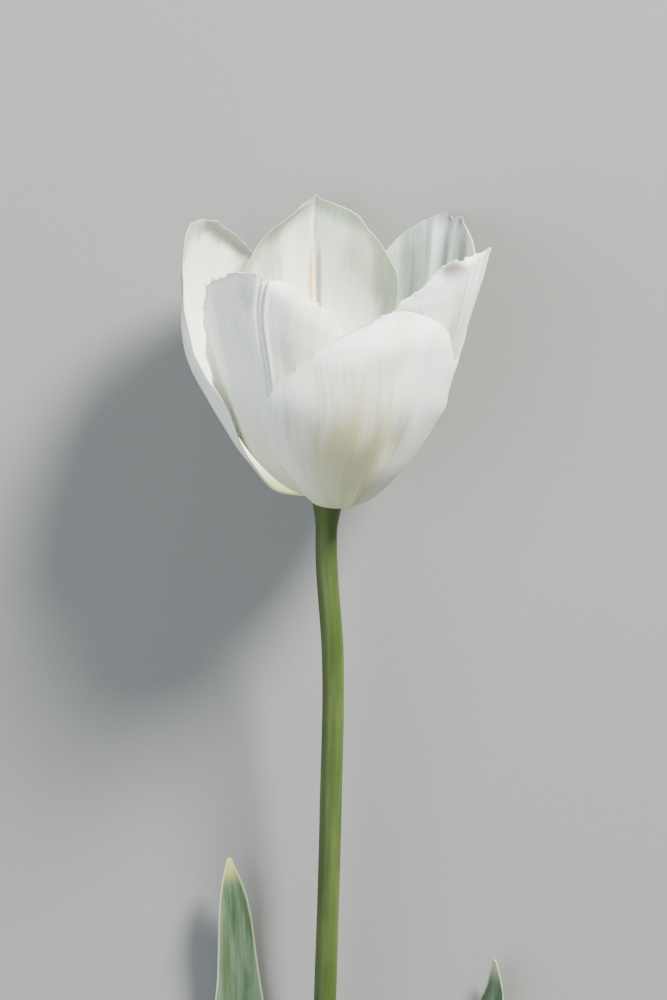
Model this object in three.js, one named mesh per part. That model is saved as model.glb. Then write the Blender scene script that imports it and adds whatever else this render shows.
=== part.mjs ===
// A single white tulip, cut with two leaves on its stem and laid on its back on a table.
//
// It is drawn upright, as it grows, in millimetres: the origin is the foot of the cup, where the
// petals meet the stem, +Z runs up the flower, +X to its right and +Y to its back. The group at
// the end lays it down: the bloom points along +Y, and one petal, both leaves and the stem's foot
// touch the table at Z = 0. The origin ends up on the table under the middle of the flower.
//
// The cup has six petals in two rings. Each petal is a thin blade, bent round the cup: its
// midrib is a smooth line in an upright plane through the axis, and its width follows an arc.
import * as THREE from 'three';

// How the flower lies
const LYING_TILT = 5.4;          // degrees between the flower's axis and the table
const CUP_FOOT_LIFT = 31.0;      // height of the cup's foot above the table
const CUP_FOOT_PLACE = { x: -5.3, y: 109.9 };  // the cup's foot, from the middle of the whole flower

// Petals
const PETAL_THICKNESS = 0.8;
const PETAL_ROWS = 16;
const PETAL_COLUMNS = 14;
const PETAL_FOOT_RADIUS = 4.8;   // the petals' feet stand round the receptacle at this radius
const PETAL_FOOT_HEIGHT = { outer: 0, inner: 1.8 };
const PETAL_CLAW = 0.15;         // share of the midrib over which the foot wraps the receptacle

// Stem and receptacle
const STEM_RADIUS = 2.9;
const STEM_FOOT_RADIUS = 3.3;
const STEM_LENGTH = 296;
// How far the stem sways to the side, as [share of the length, sideways]
const STEM_BOW = [[0, 0], [0.035, -0.5], [0.155, 1.2], [0.3, 0.6], [0.5, -1.0], [1, -5]];
const CUT_SLANT = 12;            // degrees
const NECK_LENGTH = 14;          // over which the stem widens into the receptacle
const RECEPTACLE_RADIUS = 4.4;
const RECEPTACLE_TOP = 3.4;
const STEM_SIDES = 12;
const STEM_ROWS = 16;

// Pistil and stamens
const SEAT_GAP = 0.3;            // clearance between a piece and what it grows from
const OVARY_RADIUS = 4.1;
const STIGMA_RADIUS = 5.2;
const STIGMA_TOP = 29;
const STAMEN_RING_RADIUS = 3.3;
const ANTHER_HALF_WIDTH = 1.5;
const ANTHER_HALF_DEPTH = 1.0;

// Leaves
const LEAF_THICKNESS = 0.9;
const SHEATH_LENGTH = 8;         // how far a leaf's foot wraps the stem
const LEAF_ROWS = 20;
const LEAF_COLUMNS = 8;

const degrees = THREE.MathUtils.degToRad;

// A smooth line through stations [t, value, value, ...], with t rising, read at one t.
function smooth(stations, t) {
  const last = stations.length - 1;
  let k = 0;
  while (k < last - 1 && t >= stations[k + 1][0]) k += 1;
  const slope = (i, c) => {
    const before = Math.max(i - 1, 0);
    const after = Math.min(i + 1, last);
    const rise = (a, b) => (stations[b][c] - stations[a][c]) / (stations[b][0] - stations[a][0]);
    if (before === i || after === i) return rise(before, after);
    const h0 = stations[i][0] - stations[before][0];
    const h1 = stations[after][0] - stations[i][0];
    return (rise(before, i) * h1 + rise(i, after) * h0) / (h0 + h1);
  };
  const h = stations[k + 1][0] - stations[k][0];
  const x = THREE.MathUtils.clamp((t - stations[k][0]) / h, 0, 1);
  const values = [];
  for (let c = 1; c < stations[0].length; c += 1) {
    values.push(
      (2 * x ** 3 - 3 * x ** 2 + 1) * stations[k][c]
      + (x ** 3 - 2 * x ** 2 + x) * h * slope(k, c)
      + (3 * x ** 2 - 2 * x ** 3) * stations[k + 1][c]
      + (x ** 3 - x ** 2) * h * slope(k + 1, c),
    );
  }
  return values;
}

// Puts each point of a line at its share of the length, ready for smooth().
function byLength(points) {
  const along = [0];
  for (let i = 1; i < points.length; i += 1) {
    along.push(along[i - 1] + Math.hypot(...points[i].map((value, c) => value - points[i - 1][c])));
  }
  return points.map((point, i) => [along[i] / along.at(-1), ...point]);
}

// The height of a point of the upright flower above the table that it will lie on.
const TABLE_UP = new THREE.Vector3(0, -Math.cos(degrees(LYING_TILT)), Math.sin(degrees(LYING_TILT)));
const heightAboveTable = (point) => point.dot(TABLE_UP) + CUP_FOOT_LIFT;

// A blade of even thickness: face(s, v) gives its outer face, s from foot to tip and v from edge
// to edge. Both faces are split into triangles alike. What would reach below the table is pressed
// flat on it, on both faces by the same amount.
function bladeGeometry(face, rows, columns, thickness) {
  const outer = [];
  const inner = [];
  const step = 1e-3;
  for (let i = 0; i <= rows; i += 1) {
    for (let j = 0; j <= columns; j += 1) {
      const s = i / rows;
      const v = -1 + 2 * j / columns;
      const point = face(s, v);
      const along = face(Math.min(s + step, 1), v).sub(face(Math.max(s - step, 0), v));
      const across = face(s, Math.min(v + step, 1)).sub(face(s, Math.max(v - step, -1)));
      const normal = across.cross(along).normalize();
      const pressed = Math.max(0, -heightAboveTable(point));
      point.addScaledVector(TABLE_UP, pressed);
      outer.push(point);
      inner.push(point.clone().addScaledVector(normal, -thickness));
    }
  }
  const points = [...outer, ...inner];
  const back = outer.length;
  const at = (i, j) => i * (columns + 1) + j;
  const faces = [];
  const quad = (a, b, c, d) => faces.push(a, b, c, a, c, d);
  for (let i = 0; i < rows; i += 1) {
    for (let j = 0; j < columns; j += 1) {
      quad(at(i, j), at(i, j + 1), at(i + 1, j + 1), at(i + 1, j));
      quad(back + at(i, j), back + at(i + 1, j), back + at(i + 1, j + 1), back + at(i, j + 1));
    }
  }
  for (let i = 0; i < rows; i += 1) {
    quad(at(i, 0), at(i + 1, 0), back + at(i + 1, 0), back + at(i, 0));
    quad(at(i + 1, columns), at(i, columns), back + at(i, columns), back + at(i + 1, columns));
  }
  for (let j = 0; j < columns; j += 1) {
    quad(at(0, j + 1), at(0, j), back + at(0, j), back + at(0, j + 1));
    quad(at(rows, j), at(rows, j + 1), back + at(rows, j + 1), back + at(rows, j));
  }
  return meshGeometry(points, faces);
}

// A closed body through rings of points, with its two ends closed by fans.
function loftGeometry(rings) {
  const sides = rings[0].length;
  const points = rings.flat();
  const faces = [];
  for (let i = 0; i < rings.length - 1; i += 1) {
    for (let j = 0; j < sides; j += 1) {
      const a = i * sides + j;
      const b = i * sides + (j + 1) % sides;
      faces.push(a, b, b + sides, a, b + sides, a + sides);
    }
  }
  for (const [first, turn] of [[0, -1], [(rings.length - 1) * sides, 1]]) {
    const centre = points.length;
    const middle = new THREE.Vector3();
    for (let j = 0; j < sides; j += 1) middle.addScaledVector(points[first + j], 1 / sides);
    points.push(middle);
    for (let j = 0; j < sides; j += 1) {
      const a = first + j;
      const b = first + (j + 1) % sides;
      faces.push(centre, turn > 0 ? a : b, turn > 0 ? b : a);
    }
  }
  return meshGeometry(points, faces);
}

function meshGeometry(points, faces) {
  const geometry = new THREE.BufferGeometry();
  geometry.setAttribute('position', new THREE.Float32BufferAttribute(points.flatMap((p) => [...p]), 3));
  geometry.setIndex(faces);
  return geometry;
}

// Petals. Angles run from +X towards +Y. rib lists the outer face's midrib as [radius, height],
// above the foot; width is the half width left and right of the midrib; widest is where along the
// rib the petal is widest, belly how late it swells, and tip how blunt it ends. bend is how much
// the petal curls round the cup, in 1/mm. flare bends an edge out or, if negative, in, sway shifts
// the petal sideways, and fold keeps a soft crease along the midrib, all in mm.
const RIB_FOOT = { outer: [12, 0.6], inner: [10, 3.0] };
const EVEN = [[0, 0], [1, 0]];
const BEND = {
  outer: [[0, 1 / 14], [0.2, 1 / 23], [0.4, 1 / 30], [0.6, 1 / 37], [1, 1 / 33]],
  inner: [[0, 1 / 14], [0.2, 1 / 22], [0.4, 1 / 28], [0.6, 1 / 33], [1, 1 / 30]],
};
const PETALS = [
  {
    name: 'petal_outer_front', ring: 'outer', azimuth: -68,
    rib: [[20, 7.6], [27.6, 19.2], [33, 32], [35, 43], [35.6, 51.5], [33, 59]],
    width: [31.5, 24.5], widest: 0.6, belly: 1.45, foot: 0.14, tip: [2.1, 2.1, 1.9],
    sway: [[0, 0], [0.3, 0], [0.55, 1], [0.8, 3], [1, 6]],
    flareLeft: [[0, 0], [0.3, 0], [0.6, 1], [1, 1]],
  },
  {
    name: 'petal_inner_front_left', ring: 'inner', azimuth: -127,
    rib: [[17.7, 9.4], [25.4, 21.3], [30.4, 34], [32.2, 47], [32.3, 59], [31.5, 68]],
    width: [26, 24.8], widest: 0.64, belly: 1.15, foot: 0.15, tip: [2.1, 2.4, 2.0],
    bend: [[0, 1 / 14], [0.2, 1 / 22], [0.4, 1 / 28], [0.6, 1 / 29], [1, 1 / 26]],
    flareLeft: [[0, 0], [0.5, 1], [1, 3]],
    flareRight: [[0, 0], [0.5, -3], [1, -3]],
  },
  {
    name: 'petal_outer_left', ring: 'outer', azimuth: 157,
    rib: [[19.6, 8.5], [27, 19], [33.8, 33], [37, 47], [36.5, 59], [35, 71]],
    width: [32, 34], widest: 0.5, belly: 1.5, foot: 0.13, tip: [2.0, 1.8, 1.8],
    sway: [[0, 0], [0.5, 0], [1, 4]],
    flareRight: [[0, 0], [0.2, 0.6], [0.35, 1.5], [0.5, 1], [0.65, 0.5], [1, 0]],
  },
  {
    name: 'petal_inner_back', ring: 'inner', azimuth: 96,
    rib: [[17.5, 9.4], [25.5, 21.5], [31, 35], [33, 49], [31.5, 61], [28, 73]],
    width: [24.5, 24], widest: 0.72, belly: 1.9, foot: 0.16, tip: [1.7, 1.5, 1.5],
    flareRight: [[0, 0], [0.6, 0], [0.85, -4], [1, -2]],
    fold: [[0, 0], [0.4, 0.6], [0.8, 1.6], [1, 1]],
  },
  {
    name: 'petal_outer_back_right', ring: 'outer', azimuth: 42,
    rib: [[20, 8], [28, 20], [33.5, 32], [37.5, 45], [41.5, 56], [45, 67]],
    width: [24, 23], widest: 0.6, belly: 1, foot: 0.17, tip: [2.0, 2.0, 2.0],
  },
  {
    name: 'petal_inner_right', ring: 'inner', azimuth: -17,
    rib: [[17.5, 9.4], [25.3, 21.5], [31.2, 34], [36, 47], [39.6, 58.5], [42.2, 69.5]],
    width: [27, 24], widest: 0.6, belly: 1.2, foot: 0.15, tip: [2.1, 2.7, 2.4],
    bend: [[0, 1 / 14], [0.2, 1 / 22], [0.4, 1 / 28], [0.6, 1 / 27], [0.8, 1 / 23], [1, 1 / 26]],
    flareLeft: [[0, 0], [0.4, -1], [0.6, -4], [0.8, -4.5], [1, -2]],
  },
];

const FOLD_REACH = 5;            // how far a crease reaches to each side of the midrib
const TIP_END = 0.97;            // the outline stops just short of its point, on a short edge

function petalFace(petal) {
  const foot = [PETAL_FOOT_RADIUS, PETAL_FOOT_HEIGHT[petal.ring]];
  const rib = byLength([foot, RIB_FOOT[petal.ring], ...petal.rib]);
  const bend = petal.bend ?? BEND[petal.ring];
  const [shoulder, tipLeft, tipRight] = petal.tip;
  const azimuth = degrees(petal.azimuth);
  const out = new THREE.Vector3(Math.cos(azimuth), Math.sin(azimuth), 0);
  const side = new THREE.Vector3(-Math.sin(azimuth), Math.cos(azimuth), 0);
  return (s, v) => {
    const turn = Math.max(0, (s - petal.widest) / (1 - petal.widest)) * TIP_END * Math.PI / 2;
    const reach = (Math.sin(turn) / Math.sin(TIP_END * Math.PI / 2)) ** (2 / shoulder);
    const u = s < petal.widest ? s : petal.widest + (1 - petal.widest) * reach;
    const swell = Math.sin(Math.min(s / petal.widest, 1) * Math.PI / 2) ** petal.belly;
    const round = Math.cos(turn) ** (2 / (v < 0 ? tipLeft : tipRight));
    const share = s < petal.widest ? petal.foot + (1 - petal.foot) * swell : round;
    const q = v * petal.width[v < 0 ? 0 : 1] * share;
    const curl = smooth(bend, u)[0];
    const [flare] = smooth((v < 0 ? petal.flareLeft : petal.flareRight) ?? EVEN, u);
    const [fold] = smooth(petal.fold ?? EVEN, u);
    const [sway] = smooth(petal.sway ?? EVEN, u);
    const claw = PETAL_FOOT_RADIUS - Math.sqrt(Math.max(PETAL_FOOT_RADIUS ** 2 - q ** 2, 1));
    const lift = -(1 - Math.cos(curl * q)) / curl + flare * Math.abs(v) ** 3
      + fold * Math.exp(-Math.abs(q) / FOLD_REACH);
    const [radius, height] = smooth(rib, u);
    const [r0, z0] = smooth(rib, Math.max(u - 1e-3, 0));
    const [r1, z1] = smooth(rib, Math.min(u + 1e-3, 1));
    const length = Math.hypot(r1 - r0, z1 - z0);
    const [ribR, ribZ] = [(r1 - r0) / length, (z1 - z0) / length];
    const slide = -claw * Math.max(0, 1 - u / PETAL_CLAW) ** 2;
    const point = new THREE.Vector3(0, 0, height - ribR * lift + ribZ * slide);
    point.addScaledVector(out, radius + ribZ * lift + ribR * slide);
    point.addScaledVector(side, Math.sin(curl * q) / curl + sway);
    return point;
  };
}

// Stem: a round stalk with a slight bow, which widens into the receptacle that the petals,
// stamens and pistil grow from. It is cut on a slant at its foot.
const stemBow = (z) => (z < 0 ? smooth(STEM_BOW, -z / STEM_LENGTH)[0] : 0);

function stemGeometry() {
  const profile = [
    [RECEPTACLE_TOP, 0.6], [RECEPTACLE_TOP - 0.2, RECEPTACLE_RADIUS - 0.5],
    [RECEPTACLE_TOP - 0.9, RECEPTACLE_RADIUS], [-0.4, RECEPTACLE_RADIUS],
    [-1.6, RECEPTACLE_RADIUS - 0.3], [-4, STEM_RADIUS + 0.7], [-8, STEM_RADIUS + 0.1],
    [-NECK_LENGTH, STEM_RADIUS],
  ];
  for (let i = 1; i <= STEM_ROWS; i += 1) {
    const z = THREE.MathUtils.lerp(-NECK_LENGTH, -STEM_LENGTH, i / STEM_ROWS);
    profile.push([z, THREE.MathUtils.lerp(STEM_RADIUS, STEM_FOOT_RADIUS, i / STEM_ROWS)]);
  }
  const rings = profile.reverse().map(([z, radius], row) => {
    const ring = [];
    const bow = stemBow(z);
    for (let j = 0; j < STEM_SIDES; j += 1) {
      const angle = 2 * Math.PI * (j + 0.5) / STEM_SIDES;
      const slant = row === 0 ? Math.tan(degrees(CUT_SLANT)) * radius * Math.cos(angle) : 0;
      const point = new THREE.Vector3(bow + radius * Math.cos(angle), radius * Math.sin(angle), z + slant);
      point.addScaledVector(TABLE_UP, Math.max(0, -heightAboveTable(point)));
      ring.push(point);
    }
    return ring;
  });
  return loftGeometry(rings);
}

// Pistil: a rounded three-sided ovary under a stigma of three spreading lobes.
function pistilGeometry() {
  const base = RECEPTACLE_TOP + SEAT_GAP;
  const stations = [
    [base, 1.9, 0], [base + 2, 2.6, 0.05], [base + 5, OVARY_RADIUS - 0.3, 0.08], [12, OVARY_RADIUS, 0.1],
    [18, OVARY_RADIUS - 0.2, 0.1], [22, 3.3, 0.12], [24, 2.7, 0.18], [25.5, 3.4, 0.3],
    [27, STIGMA_RADIUS - 0.8, 0.42], [28.4, STIGMA_RADIUS, 0.45], [STIGMA_TOP, STIGMA_RADIUS - 0.7, 0.4],
    [STIGMA_TOP - 0.2, 2.2, 0.3],
  ];
  const sides = 18;
  return loftGeometry(stations.map(([z, radius, lobe]) => {
    const ring = [];
    for (let j = 0; j < sides; j += 1) {
      const angle = 2 * Math.PI * j / sides;
      const r = radius * (1 - lobe + lobe * Math.cos(3 * angle + Math.PI / 2));
      ring.push(new THREE.Vector3(r * Math.cos(angle), r * Math.sin(angle), z));
    }
    return ring;
  }));
}

// Stamen: a thin filament that leans out from the receptacle and carries a long upright anther.
function stamenGeometry() {
  const base = RECEPTACLE_TOP + SEAT_GAP;
  const stations = [
    [STAMEN_RING_RADIUS, base, 0.75, 0.75], [5.0, base + 3, 0.85, 0.8], [6.8, 10, 0.7, 0.65],
    [7.9, 15.5, 0.45, 0.4], [7.9, 16.2, ANTHER_HALF_WIDTH * 0.8, ANTHER_HALF_DEPTH * 0.7],
    [8.1, 18.5, ANTHER_HALF_WIDTH, ANTHER_HALF_DEPTH], [8.5, 24, ANTHER_HALF_WIDTH, ANTHER_HALF_DEPTH],
    [8.7, 27.5, ANTHER_HALF_WIDTH * 0.8, ANTHER_HALF_DEPTH * 0.8], [8.8, 28.8, 0.5, 0.4],
  ];
  const sides = 8;
  return loftGeometry(stations.map(([radius, z, halfWidth, halfDepth]) => {
    const ring = [];
    for (let j = 0; j < sides; j += 1) {
      const angle = 2 * Math.PI * (j + 0.5) / sides;
      ring.push(new THREE.Vector3(radius + halfDepth * Math.cos(angle), halfWidth * Math.sin(angle), z));
    }
    return ring;
  }));
}

// Leaves. A leaf's foot clasps the stem from the height z = clasp, on the side that it faces. From
// there its keel follows path, listed as [x, lift above the table, z] up to the tip. facing is the
// direction that the back of the leaf faces, in degrees from +X towards +Y; curl is the bend across
// the blade, in 1/mm; width is the half width, and wave the depth, count and phase of its edges.
const SHEATH_RADIUS = STEM_FOOT_RADIUS + SEAT_GAP + LEAF_THICKNESS;
const LEAVES = [
  {
    name: 'leaf_left', clasp: -264,
    path: [[-13, 3.4, -238], [-20, 1.7, -214], [-25.6, -0.1, -180], [-26.2, 2.6, -144], [-27.3, 10, -108.5]],
    facing: [[0, 150], [0.15, 146], [0.35, 112], [0.55, 100], [0.8, 112], [1, 116]],
    curl: [[0, 1 / SHEATH_RADIUS], [0.07, 1 / SHEATH_RADIUS], [0.2, 1 / 9], [0.4, 1 / 14], [0.75, 1 / 8], [1, 1 / 5]],
    width: [[0, 6.8], [0.07, 7.2], [0.2, 11], [0.38, 14.5], [0.55, 13], [0.76, 7.6], [0.93, 4.2], [1, 0.7]],
    wave: [0.8, 2.4, 0.4],
  },
  {
    name: 'leaf_right', clasp: -236,
    path: [[10, 4.8, -211], [20, 2.6, -196], [33, 0.5, -180], [43.5, 1.3, -163], [47.3, 4.2, -150], [46.2, 7, -139.5]],
    facing: [[0, 35], [0.12, 38], [0.35, 62], [0.6, 62], [1, 30]],
    curl: [[0, 1 / SHEATH_RADIUS], [0.09, 1 / SHEATH_RADIUS], [0.25, 1 / 8], [0.45, 1 / 10], [0.75, 1 / 7], [1, 1 / 5]],
    width: [[0, 6.8], [0.09, 7.2], [0.25, 9.5], [0.45, 11.5], [0.65, 10], [0.84, 5.5], [0.95, 3], [1, 0.7]],
    wave: [0.7, 2.1, 2.2],
  },
];

function leafFace(leaf) {
  const foot = degrees(leaf.facing[0][1]);
  const sheath = [leaf.clasp, leaf.clasp + SHEATH_LENGTH].map((z) => (
    [stemBow(z) + SHEATH_RADIUS * Math.cos(foot), SHEATH_RADIUS * Math.sin(foot), z]
  ));
  const free = leaf.path.map(([x, lift, z]) => {
    const level = heightAboveTable(new THREE.Vector3(x, 0, z));
    return [x, (level - lift) / -TABLE_UP.y, z];
  });
  const keel = byLength([...sheath, ...free]);
  const keelAt = (u) => new THREE.Vector3(...smooth(keel, THREE.MathUtils.clamp(u, 0, 1)));
  return (s, v) => {
    const u = Math.sin(s * Math.PI / 2) ** 1.2;
    const [half] = smooth(leaf.width, u);
    const [curl] = smooth(leaf.curl, u);
    const facing = degrees(smooth(leaf.facing, u)[0]);
    const along = keelAt(u + 1e-3).sub(keelAt(u - 1e-3)).normalize();
    const out = new THREE.Vector3(Math.cos(facing), Math.sin(facing), 0);
    out.addScaledVector(along, -out.dot(along)).normalize();
    const side = along.clone().cross(out);
    const [waveDepth, waveCount, wavePhase] = leaf.wave;
    const wave = waveDepth * Math.sin(2 * Math.PI * waveCount * u + wavePhase + (v < 0 ? 1.4 : 0))
      * Math.abs(v) ** 3 * Math.sin(Math.PI * u);
    const q = v * half;
    const point = keelAt(u);
    point.addScaledVector(side, Math.sin(curl * q) / curl);
    point.addScaledVector(out, -(1 - Math.cos(curl * q)) / curl + wave);
    return point;
  };
}

// The pieces, each a mesh of its own
const finish = (color, roughness) => new THREE.MeshStandardMaterial({ color, roughness, metalness: 0 });
const petalWhite = 0xe9ebe6;
const stemGreen = 0x6d7f45;
const leafGreen = 0x6f8a72;
const ovaryGreen = 0xa9b97a;
const antherCream = 0xd9c98a;

const flower = new THREE.Group();

function addPiece(name, geometry, color, roughness) {
  const mesh = new THREE.Mesh(geometry, finish(color, roughness));
  mesh.name = name;
  flower.add(mesh);
  return mesh;
}

for (const petal of PETALS) {
  const geometry = bladeGeometry(petalFace(petal), PETAL_ROWS, PETAL_COLUMNS, PETAL_THICKNESS);
  addPiece(petal.name, geometry, petalWhite, 0.55);
}
addPiece('stem', stemGeometry(), stemGreen, 0.5);
addPiece('pistil', pistilGeometry(), ovaryGreen, 0.6);
PETALS.forEach((petal, i) => {
  const stamen = addPiece(`stamen_${i + 1}`, stamenGeometry(), antherCream, 0.8);
  stamen.rotation.z = degrees(petal.azimuth);
});
for (const leaf of LEAVES) {
  addPiece(leaf.name, bladeGeometry(leafFace(leaf), LEAF_ROWS, LEAF_COLUMNS, LEAF_THICKNESS), leafGreen, 0.5);
}

// Laid on its back
flower.rotation.x = -degrees(90 - LYING_TILT);
flower.position.set(CUP_FOOT_PLACE.x, CUP_FOOT_PLACE.y, CUP_FOOT_LIFT);

const tulip = new THREE.Group();
tulip.add(flower);

export default tulip;
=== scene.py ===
from math import cos, pi, radians, sin, tan

import bpy
import numpy as np
from bpy.props import FloatProperty, FloatVectorProperty, IntProperty, PointerProperty
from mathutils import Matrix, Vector, kdtree


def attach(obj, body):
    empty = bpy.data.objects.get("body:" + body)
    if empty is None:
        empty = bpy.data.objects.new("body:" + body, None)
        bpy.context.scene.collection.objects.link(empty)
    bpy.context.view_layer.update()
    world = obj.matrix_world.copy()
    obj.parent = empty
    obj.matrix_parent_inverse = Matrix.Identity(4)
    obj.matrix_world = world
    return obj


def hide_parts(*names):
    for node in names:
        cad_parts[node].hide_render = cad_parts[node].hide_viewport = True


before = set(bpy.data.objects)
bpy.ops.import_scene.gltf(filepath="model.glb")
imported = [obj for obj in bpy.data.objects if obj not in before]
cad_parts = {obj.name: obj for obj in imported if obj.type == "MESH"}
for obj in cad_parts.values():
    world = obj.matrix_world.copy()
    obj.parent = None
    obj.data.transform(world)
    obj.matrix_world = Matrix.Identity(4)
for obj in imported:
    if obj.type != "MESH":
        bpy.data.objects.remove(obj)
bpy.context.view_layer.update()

bl_info = {
    "name": "Cut tulip",
    "version": (1, 0, 0),
    "blender": (4, 5, 0),
    "location": "3D View > Sidebar > Tulip",
    "description": "Dresses the packed model of a cut tulip: petals, heart, stalk and leaves",
    "category": "Add Mesh",
}

# The flower is drawn upright, as it grows, in millimetres: the origin is the foot of the cup, +Z runs
# up the flower, +X to its right and +Y to its back. lay_down() turns it onto the table, in metres.
LYING_TILT = radians(5.4)        # between the flower's axis and the table
CUP_FOOT_LIFT = 31.0             # height of the cup's foot above the table
CUP_FOOT_PLACE = (-5.3, 109.9)   # the cup's foot on the table
TABLE_UP = np.array([0.0, -cos(LYING_TILT), sin(LYING_TILT)])
MM = 0.001

SEAT_GAP = 0.3                   # clearance between a piece and what it grows from

# Petals. Angles run from +X towards +Y. rib lists the outer face's midrib as (radius, height) above
# the foot; width is the half width left and right of the midrib; widest is where along the rib the
# petal is widest, belly how late it swells, and tip how blunt it ends. bend is how much the petal
# curls round the cup, in 1/mm. flare bends an edge out or, if negative, in, sway shifts the petal
# sideways, and fold keeps a soft crease along the midrib, all in mm.
PETAL_FOOT_RADIUS = 4.8
PETAL_FOOT_HEIGHT = {"outer": 0.0, "inner": 1.8}
PETAL_CLAW = 0.15                # share of the midrib over which the foot wraps the receptacle
RIB_FOOT = {"outer": (12, 0.6), "inner": (10, 3.0)}
EVEN = [(0, 0), (1, 0)]
BEND = {
    "outer": [(0, 1 / 14), (0.2, 1 / 23), (0.4, 1 / 30), (0.6, 1 / 37), (1, 1 / 33)],
    "inner": [(0, 1 / 14), (0.2, 1 / 22), (0.4, 1 / 28), (0.6, 1 / 33), (1, 1 / 30)],
}
FOLD_REACH = 5.0                 # how far a crease reaches to each side of the midrib
TIP_END = 0.97                   # the outline stops just short of its point, on a short edge
TIP_CALM = 6.0                   # flared edges die out where the half width is less than this
SKIN_DROP = 0.25                 # the blade lies this much lower, so that its veins can stand out
TEAR_PULL = 6.0                  # a torn margin draws the blade after it over this width
TIP_TEAR_CALM = (0.985, 0.7)     # from this share of the length, the tip is torn this much less
BEGINS_OVER = 0.15               # share of the length over which a groove or a lip begins
ENDS_OVER = 0.08                 # share of the length over which a groove ends
PETAL_RIM_WIDTH = 7.0            # a petal thins to its margin over this width
FOOT_THICKENING = (0.2, 12.0)    # how much thicker a petal's foot is, and over what length
FINE_RIDGES = (0.02, 1.7)        # height and spacing of the ridges along all veins
SOFT_DENTS = (0.35, 19, 23)      # height of the soft dents, and their spacing across and along
DENTS_CLEAR = 6.0                # within this distance of the margin they fade out
PLEAT_DRIFT = (1.2, 30)          # how far the pleats wander, in radians, and over what length
ROW_CROWDING = 1.35              # above 1, a petal's rows of faces lie closer towards its tip
COLUMN_CROWDING = 0.3            # above 0, its columns lie closer towards the midrib
MARGIN_POINTS = 5                # a point follows this many of the nearest points of the margin
MARGIN_BLUR = 0.02               # and evens out between those that are nearer than this
# Shares of a petal's length between which each of its uneven forms fades in
FADE_IN = {
    "ridges": (0.12, 0.3), "dents": (0.15, 0.5), "pleats": (0.2, 0.5), "ruffle": (0.25, 0.6),
    "tears": (0.5, 0.8), "teeth": (0.6, 0.85),
}

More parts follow.
